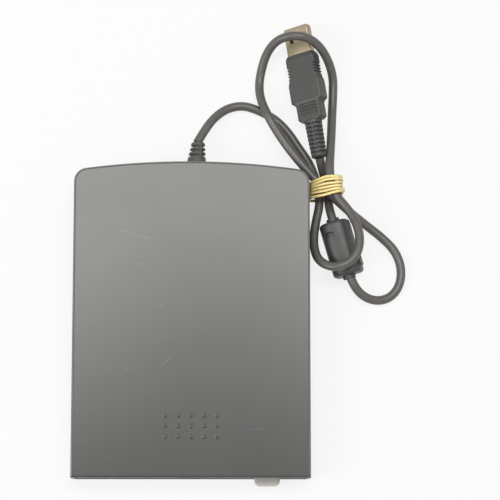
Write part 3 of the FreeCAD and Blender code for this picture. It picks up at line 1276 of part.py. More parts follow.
def flat_cable():
    """Ribbon from the main board's underside, behind the chassis, up to the socket on the bridge board."""
    low = BOARD_LOW - CABLE_T
    back = CHASSIS_REAR + CABLE_GAP
    top = BRIDGE_TOP + CABLE_LIFT
    under = box(CABLE_X0, CABLE_X1, CABLE_START_Y, back, low, BOARD_LOW)
    riser = box(CABLE_X0, CABLE_X1, back - CABLE_T, back, low, top + CABLE_T)
    over = box(CABLE_X0, CABLE_X1, back - CABLE_T, BRIDGE_SOCKET_Y, top, top + CABLE_T)
    return fuse([under, riser, over])


def inner_leads():
    """Four wires from the strain relief to the bridge board's socket."""
    wires = []
    for index in range(WIRE_COUNT):
        x = WIRE_SOCKET_X + index * WIRE_SOCKET_PITCH
        start = V(RELIEF_X + (index - (WIRE_COUNT - 1) / 2) * WIRE_PITCH, RELIEF_INSIDE, RELIEF_Z)
        corner = V((x + start.x) / 2, WIRE_BEND_Y, RELIEF_Z)
        end = V(x, WIRE_SOCKET_Y, BRIDGE_TOP + CABLE_LIFT)
        wires.append(tube([start, corner, end], WIRE_R))
    return Part.makeCompound(wires)


def sensor_switches():
    """Square bodies of the three switches, each bored for its plunger."""
    switches = []
    for name, x, y in SENSORS:
        body = box(x - SENSOR_HALF, x + SENSOR_HALF, y - SENSOR_HALF, y + SENSOR_HALF, sensor_floor(y), SENSOR_TOP)
        switches.append(body.cut(rod(SENSOR_BORE_R, (x, y, SENSOR_PIT), (0, 0, 1), SENSOR_TOP)))
    return Part.makeCompound(switches)


def sensor_floor(y):
    """Switches in front stand on the motor board; the one behind it stands on the case floor."""
    return BOARD_TOP if y < MOTOR_BOARD[3] else FLOOR_TOP


def plunger(x, y):
    """Round-topped pin that a disk presses down."""
    pin = rod(PLUNGER_R, (x, y, PLUNGER_LOW), (0, 0, 1), PLUNGER_TOP - PLUNGER_LOW)
    return pin.makeFillet(PLUNGER_EDGE_R, edges_from(pin, PLUNGER_TOP))


# ---------------------------------------------------------------- lead

def bend_radius(before, at, after):
    """Arc radius at a route point: 0.45 of the shorter run over the tangent of half the turn."""
    run_in = at - before
    run_out = after - at
    turn = run_in.getAngle(run_out)
    return 0.45 * min(run_in.Length, run_out.Length) / math.tan(turn / 2), turn


def tube(points, radius, report=False):
    """Round tube along straight runs that are joined by tangent arcs."""
    edges = []
    start = points[0]
    length = 0.0
    tightest = math.inf
    for before, at, after in zip(points, points[1:], points[2:]):
        bend, turn = bend_radius(before, at, after)
        set_back = bend * math.tan(turn / 2)
        into = (at - before).normalize()
        away = (after - at).normalize()
        arc_start = at - into * set_back
        arc_end = at + away * set_back
        middle_dir = (away - into).normalize()
        middle = at + middle_dir * (bend / math.cos(turn / 2) - bend)
        edges.append(Part.LineSegment(start, arc_start).toShape())
        edges.append(Part.Arc(arc_start, middle, arc_end).toShape())
        length += (arc_start - start).Length + bend * turn
        tightest = min(tightest, bend)
        if report:
            print("bend at (%.1f, %.1f, %.1f): radius %.1f, turn %.0f deg"
                  % (at.x, at.y, at.z, bend, math.degrees(turn)))
        start = arc_end
    edges.append(Part.LineSegment(start, points[-1]).toShape())
    length += (points[-1] - start).Length
    path = Part.Wire(edges)
    ring = Part.Wire(Part.makeCircle(radius, points[0], points[1] - points[0]))
    solid = path.makePipeShell([ring], True, False)
    if report:
        print("tube length %.1f, tightest radius %.1f, volume %.1f against %.1f"
              % (length, tightest, solid.Volume, math.pi * radius ** 2 * length))
    return solid


def cord():
    """The whole lead, from the strain relief to the plug."""
    return tube([V(*point) for point in CORD_ROUTE], CORD_R, report=True)


def strain_relief():
    """Tapered rubber sleeve: flange inside the wall, neck through it, ringed cone outside."""
    inside = RELIEF_INSIDE
    outside = RELIEF_OUTSIDE
    flange = rod(RELIEF_FLANGE_R, (RELIEF_X, inside, RELIEF_Z), (0, 1, 0), RELIEF_FLANGE_T)
    neck = rod(RELIEF_NECK_R, (RELIEF_X, inside, RELIEF_Z), (0, 1, 0), outside - inside + SUNK)
    cone = Part.makeCone(
        RELIEF_BASE_R, RELIEF_TIP_R, RELIEF_TIP_Y - outside, V(RELIEF_X, outside, RELIEF_Z), V(0, 1, 0))
    body = fuse([flange, neck, cone])
    web_low = RELIEF_WEB_X - RELIEF_WEB_W / 2
    web = box(web_low, web_low + RELIEF_WEB_W, inside, RELIEF_TIP_Y, 0, CASE_TOP)
    for y in RELIEF_GROOVE_YS:
        ring = rod(RELIEF_BASE_R + CLEAR, (RELIEF_X, y, RELIEF_Z), (0, 1, 0), RELIEF_GROOVE_W)
        core_r = RELIEF_BASE_R - (RELIEF_BASE_R - RELIEF_TIP_R) * (y - outside) / (RELIEF_TIP_Y - outside)
        core = rod(core_r - RELIEF_GROOVE_DEPTH, (RELIEF_X, inside, RELIEF_Z), (0, 1, 0), RELIEF_TIP_Y - inside)
        body = body.cut(ring.cut(core).cut(web))
    return body


def lay_along(shape, origin, axis, roll):
    """Move a piece made along +Z, face towards +Y: +Z goes along the axis, the face up and to its left."""
    left = V(0, 0, 1).cross(axis).normalize()
    face = axis.cross(left) * math.cos(roll) + left * math.sin(roll)
    shape.Placement = FreeCAD.Placement(origin, FreeCAD.Rotation(face.cross(axis), face, axis))
    return shape


def laid(shape):
    """Put a plug piece where the plug lies."""
    level = math.cos(PLUG_DIP)
    axis = V(-math.sin(PLUG_LEAN) * level, math.cos(PLUG_LEAN) * level, -math.sin(PLUG_DIP))
    return lay_along(shape, PLUG_END, axis, PLUG_ROLL)


def plug_boot():
    """Ringed sleeve that widens from the lead to the plug body; a web on each side joins its rings."""
    cone = Part.makeCone(BOOT_THIN_R, BOOT_WIDE_R, BOOT_L, V(0, 0, 0), V(0, 0, 1))
    pitch = BOOT_L / (BOOT_GROOVES + 1)
    reach = BOOT_WIDE_R + CLEAR
    web_low = BOOT_WEB_X - BOOT_WEB_W / 2
    web = box(web_low, web_low + BOOT_WEB_W, -reach, reach, 0, BOOT_L)
    grooves = []
    for index in range(BOOT_GROOVES):
        z = pitch * (index + 0.75)
        core_r = BOOT_THIN_R + (BOOT_WIDE_R - BOOT_THIN_R) * z / BOOT_L - BOOT_GROOVE_DEPTH
        groove = Part.makeCylinder(reach, pitch / 2, V(0, 0, z))
        grooves.append(groove.cut(Part.makeCylinder(core_r, BOOT_L)).cut(web))
    return laid(cut(cone, grooves))


def plug_block(z0, z1, width, thickness, corner):
    """Rounded block about the plug's own axis."""
    block = box(-width / 2, width / 2, -thickness / 2, thickness / 2, z0, z1)
    return block.makeFillet(corner, [e for e in block.Edges if upright(e)])


def plug_body():
    """Moulded grip: a narrower grooved neck, then the full block with a pad and notches on its narrow sides."""
    z1 = BOOT_L + NECK_L
    z2 = z1 + BODY_L
    neck = plug_block(BOOT_L, z1 + CLEAR, NECK_W, NECK_T, PLUG_CORNER_R)
    block = plug_block(z1, z2, PLUG_W, PLUG_T, PLUG_CORNER_R)
    pad = plug_block(z1, z1 + BODY_PAD_L, PLUG_W + 2 * BODY_PAD_PROUD, BODY_PAD_T, BODY_PAD_PROUD)
    cutters = [box(-SHELL_W / 2, SHELL_W / 2, -SHELL_T / 2, SHELL_T / 2, z2 - SHELL_SUNK, z2 + CLEAR)]
    groove_half = NECK_W / 2 - NECK_GROOVE_INSET
    notch_half = BODY_PAD_T / 2
    for side in (-1, 1):
        low, high = sorted((side * (NECK_T / 2 - NECK_GROOVE_DEPTH), side * NECK_T))
        for index in range(NECK_GROOVES):
            z = BOOT_L + NECK_GROOVE_FIRST + index * NECK_GROOVE_PITCH
            cutters.append(box(-groove_half, groove_half, low, high, z, z + NECK_GROOVE_W))
        for index in range(BODY_NOTCHES):
            z = z2 - BODY_NOTCH_LAST - index * BODY_NOTCH_PITCH
            cutters.append(side_box(side, PLUG_W / 2 - NECK_GROOVE_DEPTH, PLUG_W, -notch_half, notch_half,
                                    z, z + NECK_GROOVE_W))
    return laid(cut(fuse([neck, block, pad]), cutters))


def shell_start():
    """Distance from PLUG_END to the metal shell's back."""
    return BOOT_L + NECK_L + BODY_L - SHELL_SUNK


def plug_shell():
    """Folded metal sleeve with two square windows in each broad face."""
    z0 = shell_start()
    z1 = z0 + SHELL_WINDOW_Z
    shell = box(-SHELL_W / 2, SHELL_W / 2, -SHELL_T / 2, SHELL_T / 2, z0, z0 + SHELL_L)
    inner = box(
        -SHELL_W / 2 + SHELL_WALL, SHELL_W / 2 - SHELL_WALL,
        -SHELL_T / 2 + SHELL_WALL, SHELL_T / 2 - SHELL_WALL, z0 + SHELL_BACK, z0 + SHELL_L + CLEAR)
    windows = []
    for x in (-SHELL_WINDOW_X, SHELL_WINDOW_X):
        half = SHELL_WINDOW / 2
        windows.append(box(x - half, x + half, -SHELL_T, SHELL_T, z1, z1 + SHELL_WINDOW))
    return laid(cut(shell, [inner] + windows))


def plug_tongue():
    """Plastic tongue inside the shell."""
    z0 = shell_start() + SHELL_BACK
    low = -SHELL_T / 2 + SHELL_WALL
    return laid(box(-TONGUE_W / 2, TONGUE_W / 2, low, low + TONGUE_T, z0, z0 + SHELL_L - TONGUE_SHORT))


def plug_contacts():
    """Four contact strips on the tongue."""
    z0 = shell_start() + SHELL_BACK + TONGUE_SHORT
    low = -SHELL_T / 2 + SHELL_WALL + TONGUE_T
    half = CONTACT_W / 2
    strips = [laid(box(x - half, x + half, low, low + CONTACT_T, z0, z0 + CONTACT_L)) for x in CONTACT_XS]
    return Part.makeCompound(strips)


def along_lead(shape):
    """Put a ferrite piece, made about the origin, on the lead between the ferrite's two ends."""
    axis = (FERRITE_HIGH - FERRITE_LOW).normalize()
    return lay_along(shape, (FERRITE_LOW + FERRITE_HIGH) * 0.5, axis, FERRITE_ROLL)


def ferrite_length():
    return (FERRITE_HIGH - FERRITE_LOW).Length


def half_space(side):
    """Box round the ferrite's upper half with side=1, or its lower half with side=-1, short of the seam."""
    reach = ferrite_length()
    y0, y1 = sorted((side * FERRITE_SEAM / 2, side * reach))
    return box(-reach, reach, y0, y1, -reach, reach)


def ferrite_core():
    """Two half rings of ferrite round the lead."""
    half_l = ferrite_length() / 2 - FERRITE_COLLAR_L - FERRITE_WALL
    halves = []
    for side in (-1, 1):
        ring = Part.makeCylinder(FERRITE_CORE_R, 2 * half_l, V(0, 0, -half_l))
        ring = ring.cut(Part.makeCylinder(FERRITE_BORE_R, 2 * (half_l + CLEAR), V(0, 0, -half_l - CLEAR)))
        halves.append(along_lead(ring.common(half_space(side))))
    return Part.makeCompound(halves)


def ferrite_case_half(side):
    """Half of the snap-on case: rounded block with tapered ends, collars and a hollow for the core."""
    length = ferrite_length()
    block_half = length / 2 - FERRITE_COLLAR_L
    block = plug_block(-block_half, block_half, FERRITE_W, FERRITE_T, FERRITE_CORNER_R)
    ends = [e for e in block.Edges if e.BoundBox.ZLength < TINY]
    block = block.makeFillet(FERRITE_END_R, ends)
    collars = Part.makeCylinder(FERRITE_COLLAR_R, length, V(0, 0, -length / 2))
    hollow_half = block_half - FERRITE_WALL
    hollow = Part.makeCylinder(FERRITE_CORE_R + FERRITE_CORE_GAP, 2 * hollow_half, V(0, 0, -hollow_half))
    bore = Part.makeCylinder(FERRITE_BORE_R, length + 2 * CLEAR, V(0, 0, -length / 2 - CLEAR))
    body = cut(fuse([block, collars]), [hollow, bore])
    return body.common(half_space(side))


def latch_box(grow):
    """The snap latch's block at the case's side, larger all round by grow."""
    side = -FERRITE_W / 2
    depth = LATCH_PROUD / 2
    return box(side - LATCH_PROUD - grow, side + depth + grow, -LATCH_HALF_W - grow, LATCH_HALF_W,
               LATCH_Z[0] - grow, LATCH_Z[1] + grow)


def ferrite_case_upper():
    """Upper half, with the latch's tab and its hole, and the oval release pocket in its top."""
    z = sum(LATCH_Z) / 2
    side = -FERRITE_W / 2 - LATCH_PROUD
    hole = rod(LATCH_HOLE / 2, (side - CLEAR, 0, z), (1, 0, 0), CLEAR + LATCH_PROUD)
    floor = FERRITE_T / 2 - POCKET_DEPTH
    reach = (POCKET_L - POCKET_W) / 2
    half = POCKET_W / 2
    ends = [rod(half, (POCKET_X + x, floor, POCKET_Z), (0, 1, 0), 2 * CLEAR) for x in (-reach, reach)]
    middle = box(POCKET_X - reach, POCKET_X + reach, floor, floor + 2 * CLEAR, POCKET_Z - half, POCKET_Z + half)
    return along_lead(cut(fuse([ferrite_case_half(1), latch_box(0)]), [hole, middle] + ends))


def ferrite_case_lower():
    """Lower half, with room for the latch."""
    return along_lead(ferrite_case_half(-1).cut(latch_box(FERRITE_SEAM)))


def band_outline(grow):
    """Section of the band's inside, larger all round by grow, from its low left corner on."""
    low_left, low_right, high_right, crest = BAND_FACETS
    left = BAND_LEFT - grow
    right = BAND_RIGHT + grow
    low = BAND_T - grow
    top = BAND_T + BAND_TOP
    return [
        (left + low_left, low), (right - low_right, low), (right, low + low_right),
        (right, top - high_right), (right - high_right, top + grow), (right - crest, top + grow),
        (left, BAND_T + BAND_SHOULDER), (left, low + low_left),
    ]


def rubber_band():
    """Closed band round the bundle, drawn out along the drive; the wider end of its section is low."""
    outer = prism(band_outline(BAND_T), "y", BAND_FRONT, BAND_BACK)
    return outer.cut(prism(band_outline(0.0), "y", BAND_FRONT - CLEAR, BAND_BACK + CLEAR))


# ---------------------------------------------------------------- output

def build():
    """Name of each piece and its shape."""
    pieces = {
        "top_case": top_case(),
        "bottom_case": bottom_case(),
        "rubber_feet": rubber_feet(),
        "case_screws": case_screws(),
        "front_bezel": front_bezel(),
        "dust_flap": dust_flap(),
        "flap_pin": flap_pin(),
        "flap_spring": flap_spring(),
        "eject_button": eject_button(),
        "access_lens": access_lens(),
        "drive_chassis": drive_chassis(),
        "chassis_cover": chassis_cover(),
        "chassis_screws": chassis_screws(),
        "board_screws": board_screws(),
        "slide_plate": slide_plate(),
        "slide_springs": slide_springs(),
        "disk_holder": disk_holder(),
        "holder_pins": holder_pins(),
        "shutter_lever": shutter_lever(),
        "lever_rivet": lever_rivet(),
        "motor_board": motor_board(),
        "stator_coils": stator_coils(),
        "spindle_bearing": spindle_bearing(),
        "spindle_rotor": spindle_rotor(),
        "rotor_magnet": rotor_magnet(),
        "spindle_shaft": spindle_shaft(),
        "drive_pin": drive_pin(),
        "head_carriage": head_carriage(),
        "lower_head": lower_head(),
        "upper_head_arm": upper_head_arm(),
        "upper_head": upper_head(),
        "arm_pin": arm_pin(),
        "guide_rod": guide_rod(),
        "rod_clamp": rod_clamp(),
        "stepper_motor": stepper_motor(),
        "lead_screw": lead_screw(),
        "screw_bearing": screw_bearing(),
        "main_board": main_board(),
        "board_parts": board_parts(),
        "bridge_board": bridge_board(),
        "bridge_parts": bridge_parts(),
        "bridge_screws": bridge_screws(),
        "flat_cable": flat_cable(),
        "inner_leads": inner_leads(),
        "sensor_switches": sensor_switches(),
        "strain_relief": strain_relief(),
        "cord": cord(),
        "plug_boot": plug_boot(),
        "plug_body": plug_body(),
        "plug_shell": plug_shell(),
        "plug_tongue": plug_tongue(),
        "plug_contacts": plug_contacts(),
        "ferrite_core": ferrite_core(),
        "ferrite_case_upper": ferrite_case_upper(),
        "ferrite_case_lower": ferrite_case_lower(),
        "rubber_band": rubber_band(),
    }
    for name, x, y in SENSORS:
        pieces[name] = plunger(x, y)
    return pieces


def main():
    os.makedirs("parts", exist_ok=True)
    for name, shape in build().items():
        if not shape.isValid():
            print("not valid:", name)
        shape.exportStep("parts/%s.step" % name)
        print("%s: %d solids, %.1f mm3" % (name, len(shape.Solids), shape.Volume))


if __name__ == "__main__":
    main()
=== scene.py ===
import json
import math

import bpy
import numpy as np
from bpy.props import FloatProperty, FloatVectorProperty, IntProperty, PointerProperty
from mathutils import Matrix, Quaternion

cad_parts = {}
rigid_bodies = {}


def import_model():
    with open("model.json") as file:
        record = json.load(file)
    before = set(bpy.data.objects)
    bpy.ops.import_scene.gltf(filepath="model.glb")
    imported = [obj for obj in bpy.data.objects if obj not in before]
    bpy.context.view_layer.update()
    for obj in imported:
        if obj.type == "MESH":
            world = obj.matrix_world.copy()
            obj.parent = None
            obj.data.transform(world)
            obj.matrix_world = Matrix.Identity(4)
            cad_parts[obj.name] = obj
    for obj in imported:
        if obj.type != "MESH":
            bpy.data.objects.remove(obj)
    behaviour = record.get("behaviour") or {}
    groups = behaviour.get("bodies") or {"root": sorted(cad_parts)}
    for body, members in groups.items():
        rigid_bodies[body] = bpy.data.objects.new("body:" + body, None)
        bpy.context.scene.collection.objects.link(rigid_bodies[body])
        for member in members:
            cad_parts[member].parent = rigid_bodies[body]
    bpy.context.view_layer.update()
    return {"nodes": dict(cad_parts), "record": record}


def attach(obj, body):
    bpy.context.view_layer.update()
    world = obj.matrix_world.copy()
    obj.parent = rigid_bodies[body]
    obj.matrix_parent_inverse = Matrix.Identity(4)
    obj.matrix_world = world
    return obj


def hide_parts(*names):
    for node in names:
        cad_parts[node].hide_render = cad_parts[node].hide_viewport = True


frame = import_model()

bl_info = {
    "name": "Floppy disk drive dressing",
    "version": (1, 0, 0),
    "blender": (4, 5, 0),
    "location": "View3D > Sidebar > Drive",
    "description": "Gives a slim external floppy disk drive its finishes, lead, plug, ferrite, band and studio",
    "category": "Object",
}

# Everything is in metres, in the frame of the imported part: +Z up, -Y out of the disk slot.
MM = 0.001

LID_TOP = 18.4 * MM
SHARP_ANGLE = math.radians(38.0)
WHITE = (1.0, 1.0, 1.0, 1.0)

# ---- lead ----
CORD_DIAMETER = 0.004
CORD_ROUTE = tuple(tuple(round(MM * place, 4) for place in point) for point in (
    (2.3, 81.4, 9.0), (6.2, 88.5, 7.8), (11.0, 94.9, 4.6), (16.7, 99.0, 2.3), (23.3, 100.1, 2.0),
    (30.5, 97.7, 2.0), (37.7, 93.7, 2.0), (43.4, 87.8, 2.0), (47.9, 80.9, 2.0), (52.2, 74.7, 2.3),
    (55.0, 68.2, 3.2),
    # beside the case, then round over the ferrite
    (56.6, 61.4, 4.2), (57.3, 54.4, 5.8), (55.6, 47.1, 6.6), (54.3, 40.0, 7.6), (54.3, 33.3, 10.0),
    (55.8, 28.0, 13.6), (59.5, 24.8, 17.0), (64.5, 24.0, 18.9), (69.5, 26.2, 19.1), (73.1, 30.6, 18.6),
    (74.2, 37.2, 17.6), (72.8, 44.1, 16.2), (69.1, 50.7, 14.4), (64.4, 56.3, 13.1),
    # up past the plug and over its metal end
    (61.7, 62.8, 12.4), (61.3, 70.5, 10.8), (62.1, 79.1, 7.2), (62.8, 88.1, 4.0), (63.3, 97.2, 2.2),
    (63.8, 105.8, 2.0), (63.8, 113.6, 2.8), (61.4, 120.2, 6.6), (57.2, 125.5, 12.0), (51.2, 128.5, 16.4),
    (44.1, 129.2, 16.6), (37.7, 127.8, 12.6), (33.5, 123.3, 7.4), (31.3, 116.7, 3.6), (30.1, 109.4, 2.6),
    # down over the first stretch and through the band again
    (30.8, 102.2, 5.0), (33.4, 95.2, 8.0), (37.2, 88.2, 8.2), (41.8, 81.2, 8.0), (47.0, 74.4, 8.0),
    (52.6, 67.8, 8.4), (58.4, 61.6, 8.6), (64.6, 55.8, 8.0), (71.1, 50.4, 5.4), (78.2, 45.3, 2.6),
    # the wide loop back to the ferrite
    (85.3, 39.9, 2.0), (91.2, 33.9, 2.0), (94.0, 26.3, 2.0), (93.3, 18.5, 2.0), (89.1, 12.7, 2.0),
    (82.3, 10.8, 3.0), (75.2, 13.3, 5.4), (70.3, 20.6, 7.2),
    # out of the ferrite's upper end and under the crossing stretch to the plug
    (62.7, 47.3, 7.2), (61.3, 53.5, 4.8), (61.1, 59.5, 3.1), (60.0, 65.2, 3.3), (58.3, 70.7, 6.0),
    (57.0, 75.0, 8.8),
))

# ---- strain relief ----
RELIEF_X = 0.0023
RELIEF_Z = 0.0090
RELIEF_START = 0.0682
RELIEF_WALL = 0.0713
RELIEF_TIP = 0.0814
RELIEF_GROOVES = (0.07515, 0.07725, 0.07925)
RELIEF_GROOVE_DEPTH = 0.0009
RELIEF_CONE_R = (0.0044, 0.0030)
RELIEF_NECK_R = 0.0031
RELIEF_FLANGE_R = 0.0047
RELIEF_FLANGE_LENGTH = 0.0012
RELIEF_WEBS = (math.radians(112.0), math.radians(250.0))
RELIEF_LEAN = 0.0007

# ---- plug: from PLUG_END it leans to the left and dips, with its face rolled to the left ----
PLUG_END = CORD_ROUTE[-1]
PLUG_LEAN = math.radians(9.2)
PLUG_DIP = math.radians(2.4)
PLUG_ROLL = math.radians(31.0)
PLUG_AXIS = (
    -math.sin(PLUG_LEAN) * math.cos(PLUG_DIP), math.cos(PLUG_LEAN) * math.cos(PLUG_DIP), -math.sin(PLUG_DIP))
BOOT_LENGTH = 0.0171
BOOT_R = (0.0035, 0.0040)
BOOT_GROOVES = 8
BOOT_GROOVE_DEPTH = 0.0010
NECK_LENGTH = 0.0080
GRIP_LENGTH = 0.0314
GRIP_CORNER_R = 0.0011
SHOULDER_END = NECK_LENGTH + 0.0016
GROOVE_START = 0.0033
GROOVE_PITCH = 0.00146
GROOVE_DEPTH = 0.00042
NOTCH_START = GRIP_LENGTH - 0.0102
NOTCH_PITCH = 0.0014
NOTCH_DEPTH = 0.0006
SWELL = 0.0007
SWELL_END = (NECK_LENGTH + 0.0092, NECK_LENGTH + 0.0118)
DIMPLE_DEPTH = 0.0007
DIMPLE_R = 0.0010
FRAME_HALF_LENGTH = 0.0098
FRAME_HALF_WIDTH = 0.0052
FRAME_DEPTH = 0.00014
SHELL_LENGTH = 0.0157
SHELL_HALF_WIDTH = 0.0060
SHELL_HALF_DEPTH = 0.00225
SHELL_WALL = 0.0003
SHELL_INSET = 0.0030
# where the windows start and end along the sleeve, and their middle and half width across it
SHELL_WINDOW = (0.0084, 0.0107)
SHELL_WINDOW_X = 0.0026
SHELL_WINDOW_HALF = 0.00115

# ---- ferrite case: its bore follows the lead from FERRITE_LOW to FERRITE_HIGH ----
FERRITE_LOW = np.array((0.0703, 0.0206, 0.0072))
FERRITE_HIGH = np.array((0.0627, 0.0473, 0.0072))
FERRITE_ROLL = math.radians(18.0)
FERRITE_HALF_W = 0.0066
FERRITE_HALF_T = 0.0062
FERRITE_END_R = 0.0016
FERRITE_HALF_SEAM = 0.00004
FERRITE_WALL = 0.0013
COLLAR_R = 0.0029
COLLAR_LENGTH = 0.0015
CORE_HOLLOW_R = 0.0049
LEAD_BORE_R = 0.0023
LATCH_Z = -0.0062
POCKET_X = 0.0022
POCKET_Z = 0.0068
POCKET_REACH = 0.0010
POCKET_DEPTH = 0.00125
POCKET_WALL = (0.00085, 0.0010)

# ---- camera ----
CAMERA_PLACE = (-0.00247, -0.10293, 0.88595)
CAMERA_TURN = (0.15363, -0.03221, -0.00052)
CAMERA_LENS = 144.0


# ---------------------------------------------------------------- shapes

def smooth_step(low, high, value):
    """0 below low, 1 above high and 3t^2 - 2t^3 between them."""
    t = np.clip((value - low) / (high - low), 0.0, 1.0)
    return t * t * (3.0 - 2.0 * t)


def pulse(value, centre, half_width, edge):
    """1 within half_width of centre, falling smoothly to 0 over edge."""
    return 1.0 - smooth_step(half_width - edge, half_width + edge, np.abs(value - centre))


def mesh_piece(name, vertices, faces):
    """Object at the origin from vertex and face arrays, smooth except along edges sharper than SHARP_ANGLE."""
    mesh = bpy.data.meshes.new(name)
    mesh.from_pydata(np.asarray(vertices).tolist(), [], [list(face) for face in faces])
    mesh.polygons.foreach_set("use_smooth", np.ones(len(mesh.polygons), dtype=bool))
    mesh.set_sharp_from_angle(angle=SHARP_ANGLE)
    mesh.update()
    piece = bpy.data.objects.new(name, mesh)
    bpy.context.scene.collection.objects.link(piece)
    return piece


def tube_faces(rows, columns, join_rows=False):
    """Quads between neighbouring rings whose points run round; join_rows joins the last ring to the first."""
    point = np.arange(rows * columns).reshape(rows, columns)
    above = np.roll(point, -1, axis=0)
    quads = np.stack([point, np.roll(point, -1, axis=1), np.roll(above, -1, axis=1), above], axis=-1)
    return (quads if join_rows else quads[:-1]).reshape(-1, 4).tolist()


def lofted_piece(name, rings):
    """Closed piece through rings of points, (rows, columns, 3), with a fan about the ring's centre at each end."""
    rows, columns, _ = rings.shape
    centre = np.full(columns, rows * columns)
    first = np.arange(columns)
    last = first + (rows - 1) * columns
    faces = tube_faces(rows, columns)
    faces += np.stack([centre, np.roll(first, -1), first], axis=-1).tolist()
    faces += np.stack([centre + 1, last, np.roll(last, -1)], axis=-1).tolist()
    vertices = np.concatenate([rings.reshape(-1, 3), [rings[0].mean(axis=0), rings[-1].mean(axis=0)]])
    return mesh_piece(name, vertices, faces)


def lying(points, origin, axis, roll):
    """Points drawn with x across, y out of the face and z along the length, laid along the axis."""
    axis = np.asarray(axis)
    left = np.cross([0.0, 0.0, 1.0], axis)
    left /= np.linalg.norm(left)
    face = np.cross(axis, left) * math.cos(roll) + left * math.sin(roll)
    across = np.cross(face, axis)
    return np.asarray(origin) + points @ np.array([across, face, axis])


def rounded_ring(half_width, half_depth, corner, steps=8, along=10):
    """Rounded rectangles as (rows, columns, 2): four straight runs with a quarter circle between them.

    half_width, half_depth and corner are arrays with one value for each row.
    """
    half_width, half_depth, corner = (np.asarray(v, float)[:, None] for v in (half_width, half_depth, corner))
    angle = np.linspace(0.0, math.pi / 2, steps)[None, :]
    share = np.linspace(0.0, 1.0, along + 2)[None, 1:-1]
    flat_x = half_width - corner
    flat_y = half_depth - corner
    xs = []
    ys = []
    for turn, (sx, sy) in enumerate(((1, 1), (-1, 1), (-1, -1), (1, -1))):
        a = angle + turn * math.pi / 2
        xs.append(sx * flat_x + corner * np.cos(a))
        ys.append(sy * flat_y + corner * np.sin(a))
        if turn % 2 == 0:
            xs.append(sx * flat_x * (1 - 2 * share))
            ys.append(sy * half_depth * np.ones_like(share))
        else:
            xs.append(sx * half_width * np.ones_like(share))
            ys.append(sy * flat_y * (1 - 2 * share))
    return np.stack([np.concatenate(xs, axis=1), np.concatenate(ys, axis=1)], axis=-1)


def with_heights(rings, heights):
    """Adds each row's height as the third number of its points."""
    height = np.broadcast_to(np.asarray(heights)[:, None, None], rings.shape[:2] + (1,))
    return np.concatenate([rings, height], axis=-1)


def full_turn(count):
    """Angles round a full turn, as one row."""
    return np.linspace(0.0, 2 * math.pi, count, endpoint=False)[None, :]


def turned_rings(radius, heights):
    """Circles of radius (rows, columns) at the heights."""
    angle = full_turn(radius.shape[1])
    rings = np.stack([radius * np.cos(angle), radius * np.sin(angle)], axis=-1)
    return with_heights(rings, heights)


# ---------------------------------------------------------------- finishes

def maths(tree, operation, first, second):
    """Sum, product or other step on two values; either may be a socket or a number."""
    node = tree.nodes.new("ShaderNodeMath")
    node.operation = operation
    for socket, value in zip(node.inputs, (first, second)):
        if isinstance(value, bpy.types.NodeSocket):
            tree.links.new(value, socket)
        else:
            socket.default_value = value
    return node.outputs["Value"]


